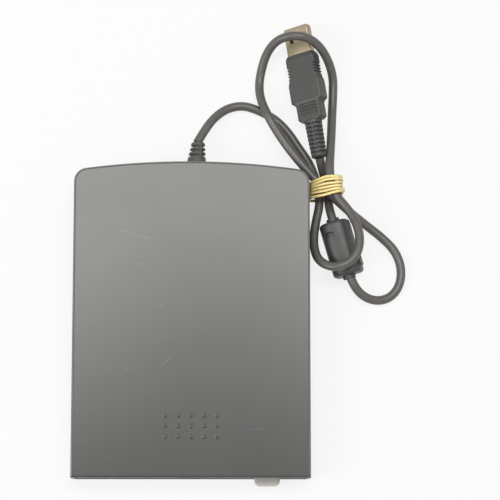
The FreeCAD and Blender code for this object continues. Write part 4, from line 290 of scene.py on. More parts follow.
class Finish:
    """A material whose principled surface takes its textures from the piece's own object coordinates."""

    def __init__(self, name, colour, roughness, metallic=0.0):
        self.name = name
        self.material = bpy.data.materials.new(name)
        self.material.use_nodes = True
        self.tree = self.material.node_tree
        self.shader = self.tree.nodes["Principled BSDF"]
        self.shader.inputs["Base Color"].default_value = (*colour, 1.0)
        self.shader.inputs["Roughness"].default_value = roughness
        self.shader.inputs["Metallic"].default_value = metallic
        self.place = self.add("ShaderNodeTexCoord").outputs["Object"]

    def add(self, kind, values=None, **settings):
        """New node with its properties and the values of its sockets set."""
        node = self.tree.nodes.new(kind)
        for key, value in settings.items():
            setattr(node, key, value)
        for key, value in (values or {}).items():
            node.inputs[key].default_value = value
        return node

    def wire(self, source, socket):
        self.tree.links.new(source, socket)

    def texture(self, kind, values, output="Fac", place=None, **settings):
        """An output of a node that works on the object coordinates, or on other coordinates named by place."""
        node = self.add(kind, values, **settings)
        self.wire(place or self.place, node.inputs["Vector"])
        return node.outputs[output]

    def stretched(self, scale, rotation=(0.0, 0.0, 0.0)):
        """Object coordinates scaled and turned."""
        return self.texture("ShaderNodeMapping", {"Rotation": rotation, "Scale": scale}, "Vector")

    def split(self, vector):
        """The three numbers of a vector."""
        node = self.add("ShaderNodeSeparateXYZ")
        self.wire(vector, node.inputs["Vector"])
        return node.outputs["X"], node.outputs["Y"], node.outputs["Z"]

    def noise(self, size, detail=3.0, rough=0.55, place=None):
        """Noise whose lumps are about size metres across."""
        values = {"Scale": 1.0 / size, "Detail": detail, "Roughness": rough}
        return self.texture("ShaderNodeTexNoise", values, place=place)

    def cells(self, size, output="Distance"):
        """Cells about size metres across."""
        return self.texture("ShaderNodeTexVoronoi", {"Scale": 1.0 / size}, output)

    def spread(self, source, low, high, to_low=0.0, to_high=1.0):
        """Linear map of source from low..high, clamped."""
        values = {"From Min": low, "From Max": high, "To Min": to_low, "To Max": to_high}
        node = self.add("ShaderNodeMapRange", values)
        self.wire(source, node.inputs["Value"])
        return node.outputs["Result"]

    def maths(self, operation, first, second=0.0):
        return maths(self.tree, operation, first, second)

    def mix(self, factor, first, second):
        """Colour mix; first and second may be sockets or colours."""
        node = self.add("ShaderNodeMix", data_type="RGBA")
        self.wire(factor, node.inputs["Factor"])
        for key, value in (("A", first), ("B", second)):
            socket = [s for s in node.inputs if s.name == key and s.type == "RGBA"][0]
            if isinstance(value, bpy.types.NodeSocket):
                self.wire(value, socket)
            else:
                socket.default_value = (*value, 1.0)
        return [s for s in node.outputs if s.type == "RGBA"][0]

    def paint(self, source):
        self.wire(source, self.shader.inputs["Base Color"])

    def gloss(self, source):
        self.wire(source, self.shader.inputs["Roughness"])

    def relief(self, height, depth):
        """Bump of the given depth in metres from a 0 to 1 height."""
        bump = self.add("ShaderNodeBump", {"Strength": 1.0, "Distance": depth})
        self.wire(height, bump.inputs["Height"])
        self.wire(bump.outputs["Normal"], self.shader.inputs["Normal"])

    def set(self, **sockets):
        """Fixed values on the shader's own sockets, named with spaces as underscores."""
        for key, value in sockets.items():
            self.shader.inputs[key.replace("_", " ")].default_value = value


def shade(colour, factor):
    """The colour made darker or lighter."""
    return tuple(min(1.0, c * factor) for c in colour)


def moulded_plastic(name, colour, roughness=0.45, grain=0.00045, depth=0.000012, mottle=0.12):
    """Moulded plastic: spark-eroded grain, faint cloudiness and slightly uneven gloss."""
    finish = Finish(name, colour, roughness)
    cloud = finish.noise(0.018, detail=4.0)
    finish.paint(finish.mix(finish.spread(cloud, 0.3, 0.7), shade(colour, 1 - mottle), shade(colour, 1 + mottle)))
    finish.gloss(finish.spread(finish.noise(0.006, detail=2.0), 0.3, 0.7, roughness - 0.05, roughness + 0.05))
    finish.relief(finish.noise(grain, detail=2.0), depth)
    return finish


def jacket_rubber(name, colour, roughness):
    """Soft vinyl or rubber: fine pull marks, paler dust and a low sheen."""
    finish = Finish(name, colour, roughness)
    dusty = finish.spread(finish.noise(0.004, detail=5.0, rough=0.65), 0.45, 0.8)
    finish.paint(finish.mix(dusty, colour, shade(colour, 1.25)))
    finish.gloss(finish.spread(dusty, 0.0, 1.0, roughness - 0.06, roughness + 0.08))
    finish.relief(finish.noise(0.0004, detail=3.0), 0.00001)
    return finish


def bare_metal(name, colour, roughness, streak):
    """Bare or plated metal: long rolling marks along one axis, dull patches and a little tarnish."""
    finish = Finish(name, colour, roughness, metallic=1.0)
    marks = finish.noise(0.0006, detail=4.0, place=finish.stretched(streak))
    patch = finish.noise(0.007, detail=3.0)
    finish.paint(finish.mix(finish.spread(patch, 0.35, 0.75), colour, shade(colour, 0.82)))
    finish.gloss(finish.spread(marks, 0.25, 0.75, roughness - 0.08, roughness + 0.12))
    finish.relief(marks, 0.000003)
    return finish


# ---------------------------------------------------------------- settings

def colour_property(name, description, default):
    return FloatVectorProperty(
        name=name, description=description, subtype="COLOR", size=3, min=0.0, max=1.0, default=default)


def length_property(name, description, default):
    return FloatProperty(
        name=name, description=description, subtype="DISTANCE", unit="LENGTH", min=0.0, default=default)


def share_property(name, description, default):
    return FloatProperty(name=name, description=description, subtype="FACTOR", min=0.0, max=1.0, default=default)


class CaseSettings(bpy.types.PropertyGroup):
    """Colours and wear of the case."""

    plastic: colour_property("Case plastic", "Colour of the lid, the base and the bezel", (0.041, 0.0405, 0.039))
    button: colour_property("Button plastic", "Colour of the eject button", (0.62, 0.60, 0.56))
    gloss: share_property("Lid roughness", "Roughness of the lid's fine texture", 0.23)
    wear: share_property("Scratches", "How pale the lid's scratches are", 0.26)


class LeadSettings(bpy.types.PropertyGroup):
    """Sizes and colours of the lead and what is on it."""

    diameter: length_property("Lead diameter", "Outside diameter of the jacket", CORD_DIAMETER)
    jacket: colour_property("Jacket", "Colour of the lead's jacket", (0.098, 0.092, 0.086))
    moulding: colour_property("Mouldings", "Colour of the plug grip, boot and ferrite case", (0.056, 0.055, 0.053))
    metal: colour_property("Plug metal", "Colour of the plug's sleeve", (0.40, 0.335, 0.235))


class BandSettings(bpy.types.PropertyGroup):
    """Turns, colour and painted edge shade of the rubber band."""

    turns: IntProperty(name="Turns", description="How often the band goes round", min=1, max=6, default=6)
    width: length_property("Band width", "Width of the flat band", 0.0013)
    thickness: length_property("Band thickness", "Thickness of the flat band", 0.0009)
    latex: colour_property("Latex", "Colour of the band", (1.0, 0.84, 0.38))
    # painted shade: the colour the band is darkened to towards the edges of each strand
    edge: colour_property("Latex painted edge shade", "Colour of the band along its edges", (0.70, 0.38, 0.09))


class StageSettings(bpy.types.PropertyGroup):
    """Lamps and floor of the studio."""

    key_power: FloatProperty(
        name="Key power", description="Power of both top lamps together", subtype="POWER", default=15.6)
    fill_power: FloatProperty(
        name="Fill power", description="Power of the left lamp; the right one has a share of it", subtype="POWER",
        default=12.0)
    sky: FloatProperty(name="Sky", description="Strength of the world on the object", min=0.0, default=0.35)
    floor: colour_property("Floor", "Colour of the floor", (0.84, 0.84, 0.84))


# ---------------------------------------------------------------- operators

def finish_nodes(finish, slot=None):
    """Puts the finish on every CAD node of the material slot, by default the one that it is named after."""
    for row in frame["record"]["subparts"]:
        if row["material_slot"] == (slot or finish.name):
            mesh = frame["nodes"][row["node"]].data
            mesh.materials.clear()
            mesh.materials.append(finish.material)


def dress(piece, finish, slot, *replaced):
    """Gives a new piece its finish, puts it on the housing and hides the CAD nodes it stands for. The slot is not
    used.
    """
    piece.data.materials.clear()
    piece.data.materials.append(finish.material)
    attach(piece, "housing")
    if replaced:
        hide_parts(*replaced)


class DRIVE_OT_case(bpy.types.Operator):
    """Finish the lid, base, bezel, flap, button, lens and feet"""

    bl_idname = "drive.case"
    bl_label = "Case"

    # middle x, middle y, turn in degrees and length of each scratch on the lid
    scratches = (
        (-0.0301, 0.0397, -7, 0.0060), (-0.0249, 0.0382, -24, 0.0075), (-0.0201, 0.0368, -5, 0.0050),
        (0.0025, 0.0625, -46, 0.0055), (0.0119, 0.0387, 23, 0.0048), (-0.0135, 0.0070, -21, 0.0028),
        (-0.0230, 0.0251, -2, 0.0040), (-0.0108, -0.0175, 44, 0.0085), (-0.0277, -0.0211, 43, 0.0022),
        (0.0270, -0.0472, 17, 0.0038), (0.0304, -0.0468, -1, 0.0050),
    )
    scratch_half_width = (0.00004, 0.00020)
    worn_shade = 5.5
    # how much the painted highlight lightens the rounded edges and the dots
    painted_highlight_factor = 5.0

    def scratch_mask(self, finish):
        """1 on thin scratches: each is where |x| < half its length and |y| is near 0 in its own turned frame."""
        total = None
        for middle_x, middle_y, turn, length in self.scratches:
            values = {"Location": (middle_x, middle_y, 0.0), "Rotation": (0.0, 0.0, math.radians(turn))}
            x, y, _ = finish.split(finish.texture("ShaderNodeMapping", values, "Vector", vector_type="TEXTURE"))
            along = finish.spread(finish.maths("ABSOLUTE", x), 0.0, length / 2, 1.0, 0.0)
            across = finish.spread(finish.maths("ABSOLUTE", y), *self.scratch_half_width, 1.0, 0.0)
            line = finish.maths("MULTIPLY", along, across)
            total = line if total is None else finish.maths("MAXIMUM", total, line)
        return total

    def painted_highlight_mask(self, finish):
        """Painted highlight: 1 on the lid's rounded sides and back, 0.4 on the dots, 0 on its flat, its walls and
        its front edge.
        """
        _, normal_y, normal_z = finish.split(finish.add("ShaderNodeTexCoord").outputs["Normal"])
        tilted = finish.spread(normal_z, 0.99, 0.90)
        above_wall = finish.spread(normal_z, 0.10, 0.35)
        behind_front = finish.spread(normal_y, -0.5, -0.2)
        below_dots = finish.spread(finish.split(finish.place)[2], LID_TOP, LID_TOP + 0.1 * MM, 1.0, 0.4)
        rounded = finish.maths("MULTIPLY", finish.maths("MULTIPLY", tilted, above_wall), behind_front)
        return finish.maths("MULTIPLY", rounded, below_dots)

    def lid(self, settings):
        """Case plastic with faint scratches, a painted highlight on its rounded sides, back and dots, and scuffed
        cloudiness.
        """
        colour = settings.plastic
        finish = Finish("lid_plastic", colour, settings.gloss)
        cloud = finish.spread(finish.noise(0.035, detail=5.0, rough=0.6), 0.35, 0.7)
        base = finish.mix(cloud, shade(colour, 0.97), shade(colour, 1.03))
        slanting = finish.stretched((1.0, 6.0, 1.0), rotation=(0.0, 0.0, 0.7))
        fine = finish.spread(finish.noise(0.004, detail=6.0, rough=0.75, place=slanting), 0.66, 0.74)
        worn = finish.maths("MAXIMUM", self.scratch_mask(finish), finish.maths("MULTIPLY", fine, 0.18))
        worn = finish.maths("MULTIPLY", worn, settings.wear)
        # painted highlight on the rounded sides, back and dots, made uneven by noise
        uneven_highlight = finish.spread(finish.noise(0.008, detail=3.0), 0.3, 0.7, 0.75, 1.0)
        edge = finish.maths("MULTIPLY", self.painted_highlight_mask(finish), uneven_highlight)
        scratched = finish.mix(worn, base, shade(colour, self.worn_shade))
        # mixes the painted highlight over the scratched plastic
        finish.paint(finish.mix(edge, scratched, shade(colour, self.painted_highlight_factor)))
        patch = finish.noise(0.020, detail=3.0)
        finish.gloss(finish.spread(patch, 0.3, 0.7, settings.gloss - 0.008, settings.gloss + 0.012))
        finish.relief(finish.noise(0.0005, detail=2.0), 0.000010)
        return finish

    def execute(self, context):
        settings = context.scene.drive_case
        finish_nodes(self.lid(settings), "case_plastic")
        finish_nodes(moulded_plastic("flap_plastic", shade(settings.plastic, 0.7)))
        finish_nodes(moulded_plastic("button_plastic", settings.button, 0.42))
        finish_nodes(jacket_rubber("foot_rubber", (0.03, 0.03, 0.03), 0.7))
        lens = moulded_plastic("lens_plastic", (0.52, 0.58, 0.48), 0.18, grain=0.002, depth=0.000002, mottle=0.03)
        lens.set(Transmission_Weight=0.6, IOR=1.49)
        finish_nodes(lens, "lens")
        return {"FINISHED"}


class DRIVE_OT_mechanism(bpy.types.Operator):
    """Finish the loading gear, spindle, heads, boards and screws inside the case"""

    bl_idname = "drive.mechanism"
    bl_label = "Mechanism"

    # material slot, colour, roughness and stretch of the rolling marks
    metals = (
        ("screw_steel", (0.60, 0.60, 0.58), 0.30, (1.0, 1.0, 1.0)),
        ("spring_steel", (0.50, 0.50, 0.50), 0.26, (1.0, 1.0, 1.0)),
        ("motor_can", (0.52, 0.52, 0.51), 0.34, (1.0, 9.0, 1.0)),
        ("bronze", (0.52, 0.36, 0.18), 0.42, (1.0, 1.0, 1.0)),
        ("contact_metal", (0.80, 0.58, 0.24), 0.24, (1.0, 1.0, 1.0)),
    )
    # material slot, colour, roughness, size of the grain and mottle
    plastics = (
        ("magnet", (0.030, 0.030, 0.032), 0.55, 0.0002, 0.12),
        ("carriage_plastic", (0.035, 0.035, 0.038), 0.5, 0.0003, 0.12),
        ("ceramic", (0.66, 0.64, 0.58), 0.14, 0.00045, 0.04),
        ("chip", (0.018, 0.018, 0.019), 0.5, 0.0002, 0.12),
        ("tongue_plastic", (0.66, 0.66, 0.64), 0.4, 0.00045, 0.12),
        ("plunger_plastic", (0.62, 0.62, 0.58), 0.4, 0.00045, 0.12),
    )

    def spangled_sheet(self):
        """Zinc-plated sheet: pale and dark crystals a few millimetres across."""
        colour = (0.56, 0.57, 0.57)
        finish = Finish("sheet_steel", colour, 0.38, metallic=1.0)
        crystal = finish.cells(0.004, output="Color")
        tone = finish.spread(crystal, 0.0, 1.0)
        finish.paint(finish.mix(tone, shade(colour, 0.86), shade(colour, 1.12)))
        finish.gloss(finish.spread(tone, 0.0, 1.0, 0.30, 0.46))
        finish.relief(finish.noise(0.0008), 0.000003)
        return finish

    def printed_board(self):
        """Solder mask over copper: thin pale tracks on a grid, with through holes between them."""
        mask = (0.022, 0.100, 0.045)
        finish = Finish("board", mask, 0.32)
        black = (0.0, 0.0, 0.0, 1.0)
        values = {"Scale": 260.0, "Mortar Size": 0.035, "Color1": black, "Color2": black, "Mortar": WHITE}
        tracks = finish.add("ShaderNodeTexBrick", values, offset=0.5, squash=2.0, squash_frequency=3)
        finish.wire(finish.place, tracks.inputs["Vector"])
        holes = finish.spread(finish.cells(0.0034), 0.09, 0.12, 1.0, 0.0)
        painted = finish.mix(tracks.outputs["Color"], mask, (0.05, 0.20, 0.09))
        finish.paint(finish.mix(holes, painted, (0.60, 0.58, 0.50)))
        finish.relief(finish.maths("MAXIMUM", holes, tracks.outputs["Fac"]), 0.00002)
        return finish

    def wound_copper(self):
        """Enamelled wire laid side by side, as fine rings round each coil, with painted shade in the grooves
        between turns.
        """
        colour = (0.62, 0.24, 0.10)
        finish = Finish("copper", colour, 0.30, metallic=1.0)
        values = {"Scale": 900.0, "Distortion": 1.5}
        lay = finish.texture("ShaderNodeTexWave", values, wave_type="RINGS", rings_direction="SPHERICAL")
        # painted shade: darker where the rings dip, in the grooves between turns of wire
        finish.paint(finish.mix(lay, shade(colour, 0.7), colour))
        finish.relief(lay, 0.00003)
        return finish

    def flat_ribbon(self):
        """Pale film with conductors showing as fine stripes."""
        colour = (0.62, 0.60, 0.52)
        finish = Finish("ribbon", colour, 0.35)
        stripe = finish.texture("ShaderNodeTexWave", {"Scale": 320.0}, bands_direction="X")
        finish.paint(finish.mix(finish.spread(stripe, 0.5, 0.7), colour, shade(colour, 0.55)))
        return finish

    def execute(self, context):
        finish_nodes(self.spangled_sheet())
        finish_nodes(self.printed_board())
        finish_nodes(self.wound_copper())
        finish_nodes(self.flat_ribbon())
        for slot, colour, roughness, streak in self.metals:
            finish_nodes(bare_metal(slot, colour, roughness, streak))
        for slot, colour, roughness, grain, mottle in self.plastics:
            finish_nodes(moulded_plastic(slot, colour, roughness, grain, mottle=mottle))
        finish_nodes(moulded_plastic("ferrite_block", (0.035, 0.035, 0.036), 0.6, grain=0.0002), "ferrite")
        return {"FINISHED"}


class DRIVE_OT_lead(bpy.types.Operator):
    """Lay the lead and give it its strain relief"""

    bl_idname = "drive.lead"
    bl_label = "Lead"

    def lead(self, settings, jacket):
        """One smooth spline through the lead's route, with a round section."""
        curve = bpy.data.curves.new("lead", "CURVE")
        curve.dimensions = "3D"
        curve.bevel_depth = settings.diameter / 2
        curve.bevel_resolution = 6
        curve.resolution_u = 10
        curve.use_fill_caps = True
        spline = curve.splines.new("NURBS")
        spline.points.add(len(CORD_ROUTE) - 1)
        route = np.column_stack([np.array(CORD_ROUTE), np.ones(len(CORD_ROUTE))])
        spline.points.foreach_set("co", route.ravel())
        spline.order_u = 3
        spline.use_endpoint_u = True
        piece = bpy.data.objects.new("lead", curve)
        bpy.context.scene.collection.objects.link(piece)
        dress(piece, jacket, "cord_jacket", "cord")

    def strain_relief(self, rubber):
        """Turned sleeve: flange, neck through the wall, then a leaning cone with grooves that webs bridge.

        The radius is r(y, a) = cone(y) - depth * groove(y) * (1 - web(a)), with a measured round the lead.
        """
        heights = np.linspace(0.0, RELIEF_TIP - RELIEF_START, 200)
        wall = RELIEF_WALL - RELIEF_START
        tip = RELIEF_TIP - RELIEF_START
        angle = full_turn(72)
        web = np.maximum(*(smooth_step(0.976, 0.990, np.cos(angle - place)) for place in RELIEF_WEBS))
        cone = np.interp(heights, [wall, tip], RELIEF_CONE_R)
        inside = np.where(heights < RELIEF_FLANGE_LENGTH, RELIEF_FLANGE_R, RELIEF_NECK_R)
        radius = np.where(heights < wall, inside, cone)[:, None] * np.ones_like(angle)
        for place in RELIEF_GROOVES:
            groove = pulse(heights, place - RELIEF_START, 0.00045, 0.00018)
            radius = radius - RELIEF_GROOVE_DEPTH * groove[:, None] * (1 - web)
        radius = radius - 0.0005 * smooth_step(tip - 0.0008, tip, heights)[:, None] ** 2
        points = lying(turned_rings(radius, heights), (RELIEF_X, RELIEF_START, RELIEF_Z), (0.0, 1.0, 0.0), 0.0)
        outside = smooth_step(RELIEF_WALL, RELIEF_TIP, points[..., 1])
        points[..., 0] += RELIEF_LEAN * (outside - 0.5) * (points[..., 1] > RELIEF_WALL)
        piece = lofted_piece("strain_relief_sleeve", points)
        dress(piece, rubber, "relief_rubber", "strain_relief")

    def execute(self, context):
        settings = context.scene.drive_lead
        jacket = jacket_rubber("lead_jacket", settings.jacket, 0.36)
        rubber = jacket_rubber("relief_rubber", shade(settings.jacket, 0.8), 0.48)
        self.lead(settings, jacket)
        self.strain_relief(rubber)
        return {"FINISHED"}


class DRIVE_OT_plug(bpy.types.Operator):
    """Mould the plug's grip and boot, and fold its metal sleeve"""

    bl_idname = "drive.plug"
    bl_label = "Plug"

    # half width and half depth of the grip's neck, and what each feature along it adds to them
    neck = (0.0060, 0.0032)
    shoulder_adds = (0.0011, 0.0004)
    start_adds = (-0.0010, -0.0004)
    slope_adds = (-0.0003, -0.0006)
    end_adds = (-0.0004, -0.0004)

    def boot(self):
        """Cone that widens towards the grip; webs bridge its eight grooves, which are shallower at its flanks."""
        heights = np.linspace(0.0, BOOT_LENGTH, 300)
        angle = full_turn(80)
        radius = np.interp(heights, [0.0, BOOT_LENGTH], BOOT_R)[:, None] * np.ones_like(angle)
        web = smooth_step(0.984, 0.995, np.abs(np.cos(angle - math.radians(103.0))))
        flank = smooth_step(0.85, 0.98, np.abs(np.cos(angle - PLUG_ROLL)))
        pitch = BOOT_LENGTH / (BOOT_GROOVES + 1)
        for index in range(BOOT_GROOVES):
            groove = pulse(heights, pitch * (index + 1.0), 0.00048, 0.00016)
            radius = radius - BOOT_GROOVE_DEPTH * groove[:, None] * (1 - web) * (1 - 0.85 * flank)
        radius = radius - 0.0006 * (1 - smooth_step(0.0, 0.0006, heights))[:, None]
        return turned_rings(radius, heights)

    def grip(self):
        """Rounded block: a narrower neck, a shoulder, and an end that slopes in to the metal sleeve.

        Four grooves cross the face near the boot, and four cross each narrow side near the sleeve. Each narrow
        side also swells between them, a round dimple marks the shoulder and a shallow line frames the face.
        """
        z = np.linspace(0.0, GRIP_LENGTH, 320)
        shoulder = smooth_step(NECK_LENGTH - 0.0008, SHOULDER_END, z)
        start = 1 - smooth_step(0.0, 0.0012, z)
        slope = smooth_step(GRIP_LENGTH - 0.0022, GRIP_LENGTH - 0.0004, z)
        end = smooth_step(GRIP_LENGTH - 0.0005, GRIP_LENGTH, z)
        half_width, half_depth = (
            base + a * shoulder + b * start + c * slope + d * end for base, a, b, c, d in zip(
                self.neck, self.shoulder_adds, self.start_adds, self.slope_adds, self.end_adds))
        corner = GRIP_CORNER_R + 0.0001 * shoulder
        rings = rounded_ring(half_width, half_depth, corner, steps=10, along=16)
        x = rings[..., 0]
        y = rings[..., 1]
        height = z[:, None]
        face = smooth_step(0.6, 0.9, y / half_depth[:, None])
        inner = 1 - smooth_step(0.0040, 0.0046, np.abs(x))
        side = smooth_step(0.80, 0.97, np.abs(x) / half_width[:, None])
        for index in range(4):
            groove = pulse(height, GROOVE_START + GROOVE_PITCH * index, 0.00034, 0.00014)
            y -= GROOVE_DEPTH * groove * face * inner
            notch = pulse(height, NOTCH_START + NOTCH_PITCH * index, 0.00036, 0.00014)
            x -= np.sign(x) * NOTCH_DEPTH * notch * side
        swell = smooth_step(NECK_LENGTH, SHOULDER_END, height) * (1 - smooth_step(*SWELL_END, height))
        x += np.sign(x) * SWELL * swell * side
        dimple = pulse(np.hypot(height - NECK_LENGTH - 0.0002, y), 0.0, DIMPLE_R, 0.0003) * side
        x -= np.sign(x) * DIMPLE_DEPTH * dimple
        middle = (NECK_LENGTH + GRIP_LENGTH) / 2 + 0.0004
        frame_line = np.maximum(np.abs(height - middle) / FRAME_HALF_LENGTH, np.abs(x) / FRAME_HALF_WIDTH)
        y -= FRAME_DEPTH * pulse(frame_line, 1.0, 0.022, 0.018) * face
        return with_heights(rings, z)

    def sleeve(self):
        """Folded metal sleeve as a sheet with two windows in each broad face; Solidify gives its thickness."""
        low, high = SHELL_WINDOW
        heights = np.concatenate([
            np.linspace(0.0, low - 0.1 * MM, 6), np.linspace(low, high, 4),
            np.linspace(high + 0.1 * MM, SHELL_LENGTH, 6)])
        lead_in = 0.0002 * smooth_step(SHELL_LENGTH - 0.0006, SHELL_LENGTH, heights)
        corner = np.full(len(heights), 0.0006)
        rings = rounded_ring(SHELL_HALF_WIDTH - lead_in, SHELL_HALF_DEPTH - lead_in, corner, 6, 38)
        points = with_heights(rings, heights)
        quads = np.array(tube_faces(*points.shape[:2]))
        middle = points.reshape(-1, 3)[quads].mean(axis=1)
        in_row = (middle[:, 2] > low) & (middle[:, 2] < high)
        on_face = np.abs(middle[:, 1]) > SHELL_HALF_DEPTH - 0.05 * MM
        in_window = np.abs(np.abs(middle[:, 0]) - SHELL_WINDOW_X) < SHELL_WINDOW_HALF
        return points, quads[~(in_row & on_face & in_window)]

    def execute(self, context):
        settings = context.scene.drive_lead
        moulding = moulded_plastic("plug_moulding", settings.moulding, 0.46, grain=0.0003)
        axis = np.array(PLUG_AXIS)
        end = np.array(PLUG_END)
        boot = lofted_piece("plug_boot_sleeve", lying(self.boot(), end, PLUG_AXIS, PLUG_ROLL))
        dress(boot, moulding, "plug_plastic", "plug_boot")
        grip_start = end + axis * BOOT_LENGTH
        grip = lofted_piece("plug_grip", lying(self.grip(), grip_start, PLUG_AXIS, PLUG_ROLL))
        dress(grip, moulding, "plug_plastic", "plug_body")
        points, quads = self.sleeve()
        sleeve_start = end + axis * (BOOT_LENGTH + GRIP_LENGTH - SHELL_INSET)
        points = lying(points, sleeve_start, PLUG_AXIS, PLUG_ROLL)
        sleeve = mesh_piece("plug_sleeve", points.reshape(-1, 3), quads.tolist())
        wall = sleeve.modifiers.new("wall", "SOLIDIFY")
        wall.thickness = SHELL_WALL
        wall.offset = -1.0
        edge = sleeve.modifiers.new("edge", "BEVEL")
        edge.width = 0.00008
        edge.segments = 2
        metal = bare_metal("plug_metal", settings.metal, 0.36, streak=(8.0, 1.0, 1.0))
        dress(sleeve, metal, "plug_metal", "plug_shell")
        return {"FINISHED"}


class DRIVE_OT_ferrite(bpy.types.Operator):
    """Finish the ferrite's snap-on case and mould its domed upper half"""

    bl_idname = "drive.ferrite"
    bl_label = "Ferrite"

    # half length, half height, corner and reach from the lead of the latch's outlines; the last two are its hole's
    latch_outlines = (
        (0.0034, 0.0026, 0.0006, 0.0058), (0.0034, 0.0026, 0.0006, 0.0072), (0.0032, 0.0024, 0.0005, 0.0074),
        (0.00075, 0.00075, 0.00074, 0.0074), (0.00075, 0.00075, 0.00074, 0.0068),
    )

    def cap(self, length):
        """Upper half shell as an arch: |x / w|^n + |y / d|^n = 1 outside and a half bore inside.

        n is 2.5 along the block and 2 on the collars. The block's ends are rounded, and the release pocket in its
        dome is an oval round a line of twice POCKET_REACH.
        """
        block = length / 2 - COLLAR_LENGTH
        hollow = block - FERRITE_WALL
        steps = [side * (place + gap) for side in (-1, 1) for place in (block, hollow) for gap in (-1e-5, 1e-5)]
        z = np.sort(np.concatenate([np.linspace(-length / 2, length / 2, 221), steps]))[:, None]
        in_block = np.abs(z) < block
        end = np.clip((np.abs(z) - block + FERRITE_END_R) / FERRITE_END_R, 0.0, 1.0)
        drop = FERRITE_END_R * (1 - np.sqrt(1 - end ** 2))
        width = np.where(in_block, FERRITE_HALF_W - drop, COLLAR_R)
        depth = np.where(in_block, FERRITE_HALF_T - drop, COLLAR_R) - FERRITE_HALF_SEAM
        power = 2 / np.where(in_block, 2.5, 2.0)
        bore = np.where(np.abs(z) < hollow, CORE_HOLLOW_R, LEAD_BORE_R)
        angle = np.linspace(0.0, math.pi, 101)[None, :]
        x = width * np.sign(np.cos(angle)) * np.abs(np.cos(angle)) ** power
        y = FERRITE_HALF_SEAM + depth * np.abs(np.sin(angle)) ** power
        pocket = np.hypot(np.maximum(np.abs(x - POCKET_X) - POCKET_REACH, 0.0), z - POCKET_Z)
        y -= POCKET_DEPTH * (1 - smooth_step(*POCKET_WALL, pocket)) * (y > FERRITE_HALF_T / 2)
        back = angle[:, ::-1]
        rings = np.stack([
            np.concatenate([x, bore * np.cos(back)], axis=1),
            np.concatenate([y, FERRITE_HALF_SEAM + (bore - FERRITE_HALF_SEAM) * np.sin(back)], axis=1)], axis=-1)
        rows, columns = rings.shape[:2]
        faces = tube_faces(rows, columns)
        outer = np.arange(columns // 2 - 1)
        inner = columns - 1 - outer
        quads = np.stack([outer, outer + 1, inner - 1, inner], axis=-1)
        faces += quads[:, ::-1].tolist() + (quads + (rows - 1) * columns).tolist()
        return with_heights(rings, z[:, 0]), faces

    def latch(self):
        """Snap latch on the narrow side: a rounded block over the seam with a round hole sunk in it."""
        half_width, half_depth, corner, reach = np.transpose(self.latch_outlines)
        along, across, out = np.moveaxis(with_heights(rounded_ring(half_width, half_depth, corner), reach), -1, 0)
        return np.stack([-out, across, along + LATCH_Z], axis=-1)

    def execute(self, context):
        settings = context.scene.drive_lead
        moulding = moulded_plastic("ferrite_moulding", settings.moulding, 0.44)
        finish_nodes(moulding, "ferrite_plastic")
        length = np.linalg.norm(FERRITE_HIGH - FERRITE_LOW)
        lay = ((FERRITE_LOW + FERRITE_HIGH) / 2, (FERRITE_HIGH - FERRITE_LOW) / length, FERRITE_ROLL)
        points, faces = self.cap(length)
        cap = mesh_piece("ferrite_cap", lying(points, *lay).reshape(-1, 3), faces)
        dress(cap, moulding, "ferrite_plastic", "ferrite_case_upper")
        latch = lofted_piece("ferrite_latch", lying(self.latch(), *lay))
        dress(latch, moulding, "ferrite_plastic")
        return {"FINISHED"}


